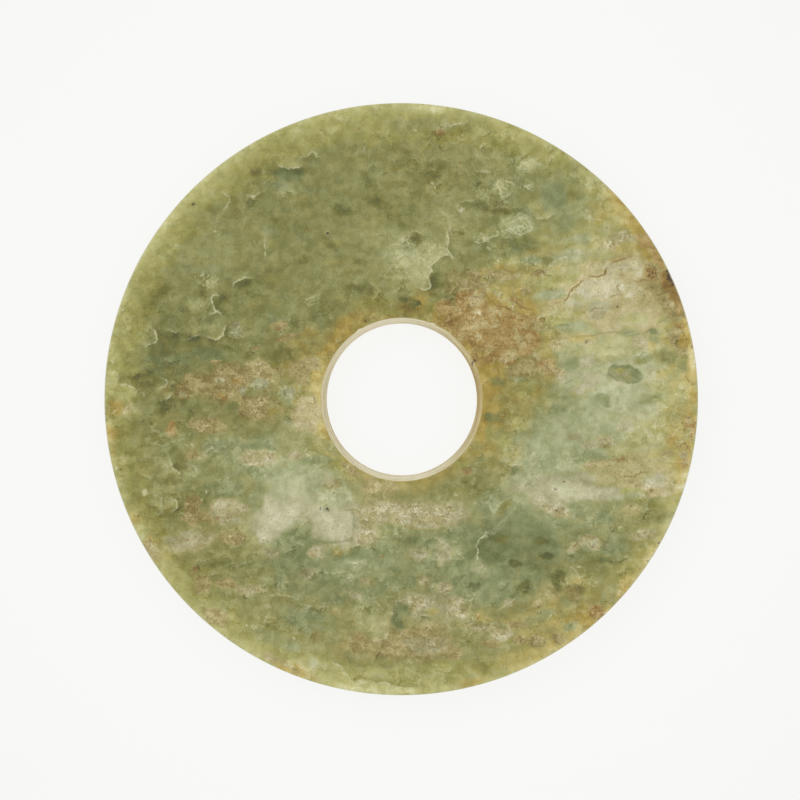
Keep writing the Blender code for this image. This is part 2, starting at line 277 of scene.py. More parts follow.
CLOUDS = (
    # milky and creamy clouds
    ("milk", (-31, -26, 7, 4, 182, 40), (-55, -14, 4, 2, 160), (66, 3, 7, 2, 182),
        (47, -11, 5, 3, 176)),
    ("cream", (-37, -35, 7.5, 4.4, 192, 50), (-41, -41, 3, 2, 188), (-20.5, -38, 5.5, 3.8, 196),
        (-26, -46.5, 3, 2.2, 176), (51, -28, 7, 2.2, 188), (61, -28.6, 8, 1.7, 184),
        (41.5, -28.4, 5, 2, 180, -8)),
    ("milk", (-21, -30.5, 6, 2.6, 176), (-14, -49.5, 3.5, 0.9, 182), (49, -26.6, 3, 1.4, 190),
        (36, -24, 4, 2, 170), (40, -18, 3, 2.2, 172, 20)),
    ("beige", (-11, -41.5, 4, 2.4, 175), (78, -26, 4, 1.4, 192), (84.5, -27.2, 3.4, 0.9, 200, 4),
        (59, 33.5, 8, 3.4, 198, 14), (69, 48.5, 2.5, 1.4, 174)), ("oatmeal", (54, 32, 3, 2, 192, 20)),
    ("cream", (54, 30, 4, 1.6, 186, 15)), ("straw", (71, 38.5, 4, 2.4, 184, 10)),
    ("beige", (69, 33, 3.6, 2, 192), (63, 39.5, 6, 1.8, 180, 15)),
    ("milk", (50, 43, 8, 2, 170, 12), (45, 31.5, 5, 1.6, 178, 5), (-10, -50, 7, 1.6, 160, 3)),
    ("lime", (33, 42, 3.8, 1.9, 166), (27, 32.7, 1.4, 1.1, 172), (-88, 6, 2, 2.6, 176),
        (-27, -80, 2.2, 2.4, 182), (-8, -83, 4, 1.6, 168, -5)),
    ("pear", (41, 57.4, 3.4, 1.3, 158, -35), (62, 15, 8, 3, 182, 8)),
    ("khaki", (-82.5, -3.5, 2.8, 1.6, 170)),
    ("milk", (52, 5, 5, 2.4, 178), (62, 2.4, 5, 1.4, 188, 10), (70, -1, 8, 2.2, 182, 5)),
    ("cream", (60, 27.6, 3, 1.6, 186, 10)), ("milk", (55, 19, 6, 2.2, 176, 8)),
    # sea green and mint
    ("fern", (50, 58, 5, 8, 148), (34, 46.5, 7, 2.6, 130), (24, 46, 5, 2, 134)),
    ("thin_sea", (-59, 41, 6, 4, 141), (3, 57, 2.5, 2, 126), (-58, 13, 6, 2.2, 129),
        (-34, 26.5, 5, 2.6, 140), (-66, -2, 4, 1.5, 126), (-30, 20, 5, 2, 136, 10),
        (-44, 20, 3, 3, 136)), ("pear", (50, 48.5, 8, 1.8, 162, 8)), ("lime", (61, 56, 3, 4, 164, 30)),
    ("mid_sea", (-54, -27, 6, 2.2, 142)),
    ("sea", (-38, -22, 8, 1.8, 160), (-25, -18.5, 5, 1, 142), (-31, -44.5, 3.8, 4.2, 134, 10),
        (-26, -50, 5, 2.6, 134), (35, -41, 9, 6, 132), (27, -44, 4, 4, 124), (-1, -67, 1.6, 2.2, 118),
        (27, -55, 5, 3, 150, 20), (30, -60, 5, 2, 146, 10), (-32.5, -74.5, 2.2, 1.6, 160),
        (51, 10.5, 3.6, 1.7, 146, 5), (58.5, -17, 3.4, 1.1, 146), (49, -2, 3, 1.7, 136, 10),
        (61, -36, 2.4, 1.6, 140), (40, -30, 5, 2, 154), (44, -46, 6, 3, 126), (10, -52, 6, 2, 138),
        (52, 22, 5, 1.6, 158), (16, -53, 4, 3, 140)),
    ("olive", (79, 13, 4.6, 1.9, 134, -12), (73, 11.6, 2.2, 0.9, 148), (85, 9.5, 1.6, 2, 146),
        (77, -35.4, 6, 2.6, 136, 14), (52, -50, 6, 3, 134, 10)), ("fern", (75, 17.5, 3, 1.4, 158, 10)),
    ("mid_sea", (-8, -58, 5, 3, 136)),
    # stain and yellower stone
    ("honey", (65, 59, 2.4, 3.6, 160, 40), (25, -66, 3, 2, 152)),
    ("amber", (71, 53, 1.8, 4, 152, 40), (76, 45, 2.6, 4.4, 138, 35), (29, 27.5, 3.2, 1.3, 138, 10),
        (37.5, 27.5, 3.6, 2, 152, -15), (28, 10, 4, 2, 132, 20), (-16.5, 23, 3, 1.6, 138, 35),
        (25, 2, 1.8, 7, 148), (87, -9, 2, 6, 152), (88.4, 0.6, 1.4, 2, 160), (82.6, -13, 2.6, 2.4, 158),
        (85.5, -18, 2.4, 3, 166), (-87, -2.5, 2, 2.6, 146), (-87.4, -11.4, 1.8, 2.6, 152),
        (-75.6, -45.4, 2.6, 4, 164, 30), (-32, -82, 4, 1.4, 170, -28)), ("pear", (62, 52, 3, 2, 166)),
    ("gold", (32, 30.5, 4, 2, 158, -25), (29, 33.5, 3, 1.4, 158, 10)),
    ("honey", (24, -14, 2, 4, 150, -30)), ("lime", (83, -30.4, 4, 3, 168, -20)),
    # smaller clouds of every kind, laid over those
    ("lime", (-60, 62.5, 3, 2, 172, 45), (53.3, 26, 1.6, 0.9, 166), (8.5, 27, 3.2, 2.4, 138, 10),
        (-8, 29.4, 5, 1.4, 136, 8), (47, 24, 4, 1.6, 172, 8), (52, 37, 4, 1.4, 176, 15),
        (44, 36, 4, 2, 164, 10), (31, -13, 3, 3, 160), (36, -8, 2, 2, 156), (70, -28, 4, 1.2, 166),
        (32, -31.5, 1.6, 1, 140), (-19, 86, 4, 1.4, 168, -10)),
    ("honey", (6.4, 31.6, 3, 1.8, 142, 10), (1, 26.5, 6, 2, 128), (79, 6, 2, 3, 174),
        (59.4, 56, 3, 3, 160, 30), (-27.6, 20, 2.4, 1.4, 138, 20), (20, -86, 5, 1.2, 164, 14),
        (-27, -84, 3, 1.6, 168, -20), (22.6, -13.6, 1.6, 3, 150, -30), (-39.4, -3.6, 2.6, 1.4, 142),
        (80, 17.6, 1.8, 2, 162), (-80, -37, 2, 2.4, 152), (-87.4, -15, 1.4, 3, 152),
        (-73, -46, 2, 3, 160, 40)),
    ("olive", (10, 34.6, 3, 1.4, 118), (-22, -14.6, 4, 2, 152, -40), (-44, 3, 2, 2, 142),
        (6, 83, 10, 2.2, 152), (-37, 13, 4.4, 2, 128)),
    ("lime", (5, 31, 3, 1, 150), (18, -19.6, 2.4, 1.4, 144), (26, -9.4, 2, 2.4, 150)),
    ("amber", (57, -67, 5, 2.2, 148, 40), (5.4, 30.2, 2.6, 1.4, 142), (-25.6, 7, 1.8, 3, 172),
        (37, 32.4, 3, 1.6, 158, -10), (-26.2, -2, 1.4, 3, 180), (66, 60.4, 2, 2.6, 158, 45),
        (-20.6, 16.6, 1.4, 3, 146, -40), (24.8, -7, 1.4, 4, 148), (20.6, 16.4, 1.4, 2.6, 140, -45)),
    ("oatmeal", (16, -34, 4, 3, 162), (-51, -36.6, 3, 1.6, 154), (43, -31, 5.5, 2.4, 178, -20),
        (-65, -42.6, 7, 2.6, 162, 8), (-20, -45, 4, 0.9, 168)),
    ("fern", (56, 5, 3, 3.4, 178), (48.6, 13.4, 2.6, 1.6, 158), (44, -65, 3, 1.8, 150, 20)),
    ("straw", (64, 22, 4, 1.6, 182, 10), (72, 30, 4, 1.8, 178, 10), (53, 30.4, 2.4, 1.4, 180),
        (-75.4, -46, 1.8, 3, 172, 30), (-76.6, -46, 2, 2.4, 166, 30), (6, -76.6, 8, 1.4, 150)),
    ("pear", (67, -15, 5, 2, 172, 5), (79, 5, 2.4, 2, 172), (61, 43.4, 4, 1.4, 168, 12),
        (-8, -83.4, 4, 1.4, 172)),
    ("honey", (78, -18, 3, 3, 168), (54, -56, 3, 3, 152, 20), (53, -71, 4, 2, 168, 30),
        (25, 37, 4, 1.4, 146), (40.4, 36.4, 3, 1.6, 160), (-19.4, -46.4, 1.2, 1.2, 148)),
    ("straw", (60, -20, 5, 1.6, 166, 5)),
    ("milk", (50, -21, 5, 1.2, 180, 5), (52, -10, 3, 1.4, 172), (60, -5, 4, 2.4, 180),
        (55, 48, 3, 1.6, 162), (-35, 1, 2, 2.4, 150), (-37, 23, 3, 1.6, 140), (36, -12, 3, 2, 158),
        (-57, 39, 3, 1.4, 144), (-33, -7, 3, 1.4, 150), (-36, 64.6, 2.8, 1.4, 150),
        (-40, 50.6, 2.4, 1.4, 146)),
    ("mid_sea", (48, 1.6, 4, 3, 150), (52, -47.6, 3, 1.6, 140), (50, -7, 3, 1.6, 166)),
    ("olive", (63, -59, 4, 2, 156, 40)),
    ("fern", (64.4, 16.6, 4, 1.8, 168, 5), (75.6, 0.4, 4, 1.6, 160, 8)),
    ("lime", (37, 3, 3, 2.4, 144), (-4, 26.4, 3, 0.9, 140)),
    ("thin_sea", (-4, -39.6, 3, 1.4, 148), (0, -64, 2.4, 2, 138), (-39, -71.4, 5, 2.4, 158, -20),
        (-50, -2, 2.4, 1.6, 136), (-45, -49, 3, 2, 136), (50, -61, 2.4, 2, 142)),
    ("straw", (55, 18.6, 5, 1.4, 176, 4), (38.4, 11.6, 3, 1.2, 152)),
    ("rust", (73.4, 48, 1.8, 2.4, 150, 35), (84, 27.6, 1.6, 2.4, 140, 10)),
    ("brown", (12.8, 27, 2.4, 2.4, 138), (28, 27, 2.4, 1.6, 142)),
    ("amber", (78, 42, 1.8, 2.4, 150, 35), (69, -56, 2.4, 2.4, 160, 40), (11.6, 25, 2, 1.4, 140, -30)),
    ("cream", (57, -23.4, 4, 1.4, 174), (57, -14, 2.4, 1.2, 178), (76.4, -23.8, 3, 1.6, 194)),
    ("honey", (68, 45.4, 4, 1.6, 164, 12), (43.6, 15.4, 2.6, 4, 156), (63, -61.6, 3, 1.6, 156, 40),
        (9, -64, 2, 1.4, 158), (44.6, 19, 2.6, 2, 156), (85, -4, 2, 1.4, 156),
        (84.8, -28.4, 2.6, 1.2, 174)),
    ("sea", (26, -46.5, 2.2, 3.4, 122, 10), (-44, -31, 2, 3, 152), (16.6, -46.4, 1.6, 2.6, 154),
        (61, -5, 4, 1.6, 172), (0, -64, 2.4, 1.8, 134), (-34, 68, 4, 1.4, 130),
        (46, 61.4, 4, 3.6, 140)),
    ("pear", (70, 24, 4.4, 1.8, 182, 8), (66, 17.4, 4, 1.6, 182, 5), (-26, -80.6, 5, 1.6, 172, -15),
        (79.6, 23.6, 2.4, 1.6, 166)), ("olive", (-20, -71.4, 7, 1.8, 150)),
    ("beige", (73, 38.6, 2.6, 1.4, 180), (58.6, 25.2, 2, 1.7, 186), (68.6, 33, 2.2, 1.6, 196),
        (71.4, 38.6, 2.2, 1.5, 192), (28, -69.4, 3, 1.2, 160)),
    ("amber", (76, 45.4, 1.8, 3, 148, 35), (76.6, 43.6, 1.8, 3, 146, 35)),
    ("khaki", (-71, 3.4, 2, 1.6, 138), (-44.4, 69, 1.6, 1.2, 126), (-28.4, 51.4, 1.6, 1, 124)),
    ("sea", (-70, 12, 5, 2, 126), (-58, 14, 4, 2, 124)),
    ("mid_sea", (-30, -67, 7, 3, 146, -15), (-22, -60.4, 6, 1.6, 140)),
    ("cream", (56.6, 8, 2.6, 4, 178)), ("mid_sea", (58, 9, 4, 1.6, 176)),
    ("olive", (-36.6, -61, 3, 1.6, 146), (-12, -71, 4, 1.4, 150)),
    ("tan", (75, 35, 2, 1.4, 156), (31, 37.4, 5, 1.2, 156), (21, 37, 3, 1.2, 154), (36, 8, 4, 2, 144),
        (84, 28.4, 2.4, 1.6, 168)),
    ("honey", (33, -67, 3, 1.4, 152), (32, 39.4, 4, 1.2, 150), (38, 11, 2.4, 1.4, 150)),
    ("milk", (78, -19, 2.6, 1.6, 174), (71, -29, 2.4, 1.2, 170), (-35, -26.4, 6, 4.4, 181, 40),
        (-21, -30.4, 4.4, 1.8, 178, 10), (39, 42, 3, 1.4, 160), (52, -58, 2, 2, 128),
        (51, -28.2, 4.6, 1.6, 193)), ("thin_sea", (40, -67, 4, 1.4, 150, 10), (28, -65, 3, 1.4, 148)),
    ("straw", (65.3, 27.9, 1.6, 1.2, 172), (55.9, 17.4, 1.6, 1.3, 172), (-36.6, -80, 6, 1.6, 176, -30)),
    ("rust", (74.8, 47.4, 1.4, 2, 152, 35), (78, 42.4, 1.3, 2, 150, 35), (76.4, 45, 1.2, 3.4, 150, 38),
        (84, 20, 1.2, 2.4, 160), (88, -10, 1, 3, 168)),
    ("milk", (-26.2, -79.8, 1.6, 1.8, 184), (51, -68.8, 2.6, 1.2, 160, 20)),
    ("pear", (54.6, 30, 3, 1.3, 182)), ("honey", (55, 18.6, 4.6, 1.1, 176, 4)),
    ("gold", (-28, 5.6, 2.4, 2.2, 164)), ("brown", (4.6, 28.8, 1.4, 1, 142)),
    ("fern", (29, 5.6, 2, 1.4, 128), (-3, -39.6, 4, 1.6, 144), (69, 20, 3, 1.4, 172)),
    ("straw", (-6, -33.6, 4, 1.6, 160)), ("amber", (-36.4, -81.2, 3, 1, 170, -28)),
    ("lime", (-29, 1, 2.4, 1, 168)), ("gold", (-25.6, 7.4, 1.2, 2.2, 172)),
    ("milk", (35.4, 6, 2, 1, 146)), ("sea", (-41.4, -23.4, 2.4, 1.6, 152, 30)),
    ("khaki", (52.6, -58.6, 2.4, 2.2, 132)),
)

WEATHERED = (
    # granular tan patches with ragged edges: left of the bore
    ("tan", (-63, 5, 3.6, 2, 146), (-55, 5, 3.2, 2.2, 142), (-66.5, 1.5, 2.4, 1.5, 138),
        (-50.5, 4, 3, 3, 152), (-43.5, 8.8, 4.6, 3, 158), (-44, -2.5, 4.2, 2.6, 148),
        (-53, 7, 3, 1.6, 146), (-44, 15.5, 1.5, 1, 144), (-56, 11.2, 1.4, 0.8, 142),
        (-37, 22, 2.4, 1.3, 142, 10), (-34.5, 18.5, 3, 1.4, 140, 15), (-29.5, 8.6, 5, 3.9, 160, 10),
        (-37, 8.5, 3, 1, 142), (-58, -8, 5.8, 2.6, 150, -4), (-63.6, -16.6, 1.9, 1.3, 144),
        (-63, -32.4, 2.6, 3.8, 142), (-62.5, -36, 4, 1.7, 144), (-63, -33, 1.4, 2, 134),
        (-57, -35.5, 2.8, 2.2, 148), (-60, -56, 3, 2.5, 146), (-62.3, -51.5, 1.3, 1.2, 140),
        (-56, -66, 4, 2.2, 156, -25)), ("cream", (-48, 2.5, 1.3, 1, 160)),
    ("fawn", (-69.9, -9, 1.7, 2.8, 144)),
    ("beige", (-60, -17.4, 1.8, 0.9, 158), (-43, -17.5, 6.2, 2.3, 180, 2), (-32.5, -17, 2.6, 1.4, 168),
        (-54, -34, 5.4, 3.4, 160), (-53, -32, 4, 2.4, 176), (-48, -33, 2.6, 1.4, 160),
        (-63.4, -43.2, 6.6, 2.4, 164, 8), (-45.5, -57.5, 5, 1.4, 160, 3)),
    ("tan", (-51, -42, 4, 1.8, 150), (-53, -56, 3, 1.7, 148)),
    ("oatmeal", (-39.4, -46.6, 3, 1.2, 154, -10)), ("straw", (-28.6, -4.6, 4.8, 5.6, 182, 10)),
    ("tan", (-26.4, -1.6, 1.6, 2.4, 174)),
    # below the bore
    ("beige", (-21, -26, 3, 1.7, 156), (-11.5, -42, 4, 2.4, 170), (7, -55, 2, 1.4, 152),
        (13, -57.5, 2.6, 2, 152), (-10.2, -55.2, 2.2, 0.9, 158, -15), (5, -62, 3, 2.6, 166),
        (17, -63.5, 3.4, 3, 168), (6, -74.5, 9, 2.6, 152, 2), (23, -69, 4, 1.3, 164),
        (33, -61.6, 1.8, 1.2, 158, 30)),
    ("tan", (-15, -21.5, 3.4, 1.1, 150, -36), (-9, -26.5, 3, 2, 160), (-4, -27, 3, 1.6, 158),
        (-13, -73.5, 2.5, 3.5, 146), (16, -77, 2.2, 2.4, 150), (27, -74, 3, 1.2, 156),
        (36, -73, 2, 1.2, 154), (35, -68.5, 3, 1.1, 152), (41.5, -62, 1.6, 1.1, 156),
        (-2, -75, 3, 2, 156)),
    ("beige", (-4, -34.5, 5, 2.4, 174), (8, -33.8, 9, 1.7, 175), (7, -37.5, 8, 1.6, 170),
        (15.4, -36.5, 2, 1.4, 162), (30.6, -71.4, 3.8, 1.8, 180, 8)),
    ("oatmeal", (5, -47, 3.6, 2, 156), (12.6, -46, 2.6, 3.6, 166), (-28, -53, 3, 1.8, 146),
        (-13.8, -59.6, 1.7, 1.4, 148)), ("milk", (23.6, -51.2, 2.6, 1.9, 164)),
    ("khaki", (-35.6, -60.2, 2.4, 1, 148), (-19.4, -64.4, 3.4, 1.4, 154),
        (-25.6, -71.6, 1.8, 1.6, 142)),
    ("tan", (41, -73.5, 2.6, 1.6, 150, 10), (47.5, -72.5, 2, 1.8, 152)),
    ("rust", (59.5, -64.5, 2.4, 2.6, 138)),
    # right of the bore
    ("beige", (55.4, -42.7, 3, 1.3, 170, 25), (58.6, -44, 2.2, 2, 172, -20),
        (52, -45.3, 2.4, 0.9, 158, 30), (47, -33.6, 4, 2.2, 172, -20), (72.4, 17, 2.4, 2, 176),
        (59.5, 25.5, 2.2, 1.5, 164), (65.5, 49, 3, 1.6, 172, 10)),
    ("khaki", (70, -34, 3.4, 2.2, 160), (70, -21.5, 11, 4, 170, 6)),
    ("beige", (73.8, -41, 4.4, 1.5, 166, 8)),
    ("tan", (66.5, -18.3, 2.4, 0.6, 150), (76, -28, 1.6, 1, 158), (41.5, 38, 2, 1, 148),
        (37.5, 32.5, 1.6, 1.4, 152), (20, -22, 1.8, 1.2, 146), (84, 17, 2.6, 4, 150, 10),
        (78, 35, 4.4, 2.6, 156, -20)), ("beige", (61.6, -12.8, 2.6, 1.8, 168)),
    ("oatmeal", (57, -13.8, 2.6, 1.6, 163), (52, -11, 2.2, 1, 160), (67.4, -8, 3, 1.8, 178),
        (53.4, 3, 2, 1.4, 174)), ("milk", (48, -6.5, 3.5, 1.6, 168)),
    ("honey", (75.6, 16, 1.2, 2.6, 170)),
    ("fawn", (44, 9.8, 4, 2.4, 156, -24), (75.6, 38.4, 2.2, 2.8, 148)),
    ("beige", (48.6, 7.2, 1.8, 1.8, 168)), ("brown", (80.6, 36, 3.2, 2, 122, -62)),
    ("tan", (82, 27, 3, 4, 148, 20)), ("brown", (86, 30, 1.6, 5, 144, 20)),
    # brown stone at the upper right of the bore
    ("brown", (15, 24, 2.6, 2.4, 124), (40.5, 18, 1.8, 2.4, 134)),
    ("rust", (20, 31, 4, 1.3, 132), (30.5, 18, 2.4, 1.4, 132, 10), (27.5, 12.4, 3, 1, 144, 10)),
    ("khaki", (18, 37, 4, 1.4, 142, -10)),
    ("fawn", (17.5, 28.5, 2.6, 1.3, 156, 15), (23, 29, 3.4, 1.8, 164, 30), (22.5, 24, 6, 2, 160, 5),
        (32, 13, 2.8, 2, 160, 10), (26, 26.5, 5, 1.2, 168, 5), (17, 26, 3.5, 0.8, 172, 35),
        (22, 31.4, 3.4, 0.9, 170, 42), (24, 21.6, 4, 0.8, 168, 5), (33, 18, 3, 1.2, 158, -5),
        (19, 19.5, 3, 2, 158, -20), (25, 16.5, 3, 2.4, 152), (38, 15, 1.9, 1.5, 158),
        (29, 21, 3.4, 2.4, 150), (36, 19, 4, 3, 146)), ("khaki", (28.6, 31.6, 2.4, 1.2, 164)),
    ("amber", (27, 30.4, 1.4, 2.4, 150, 30)), ("brown", (33, 24, 4, 2, 138, -20)),
    ("rust", (22, 17.5, 2.4, 1.2, 134, -30), (35, 29.5, 3, 0.8, 138, -25)),
    # stain on the right rim, and small patches elsewhere
    ("amber", (84.8, 17.4, 2, 2.6, 152)), ("rust", (83.4, 30.6, 1.6, 2.4, 134, 10)),
    ("straw", (79, -28.4, 4, 1.5, 180, 4)),
    ("beige", (47, -33.4, 3, 1.5, 170), (-66.2, 1.6, 1.7, 1.4, 150), (-55, 5.3, 2, 1.5, 164)),
    ("honey", (83.6, -8, 1.6, 1.4, 158)), ("fawn", (86.8, -8, 1.1, 3, 158)),
    ("honey", (84.4, -13.4, 2, 2, 160)), ("beige", (85.4, -17, 1.5, 1, 178)),
    ("fawn", (86.2, -19.4, 1, 1.8, 166)),
    ("tan", (80.4, -16.6, 2, 1, 162), (55.6, 37.6, 3.2, 0.8, 182, 38)),
    ("khaki", (63, -20.6, 6, 2.4, 170, 6), (53, -58.4, 2.2, 1.8, 130)),
    ("olive", (-8.6, -68.4, 4.4, 3.8, 144)),
    ("brown", (-54.4, 1.2, 1.8, 0.8, 138), (-49.6, 5.4, 1.6, 0.9, 142), (11.4, 81, 1.8, 0.8, 132)),
    ("honey", (86, -10.4, 1.6, 2, 154)),
)

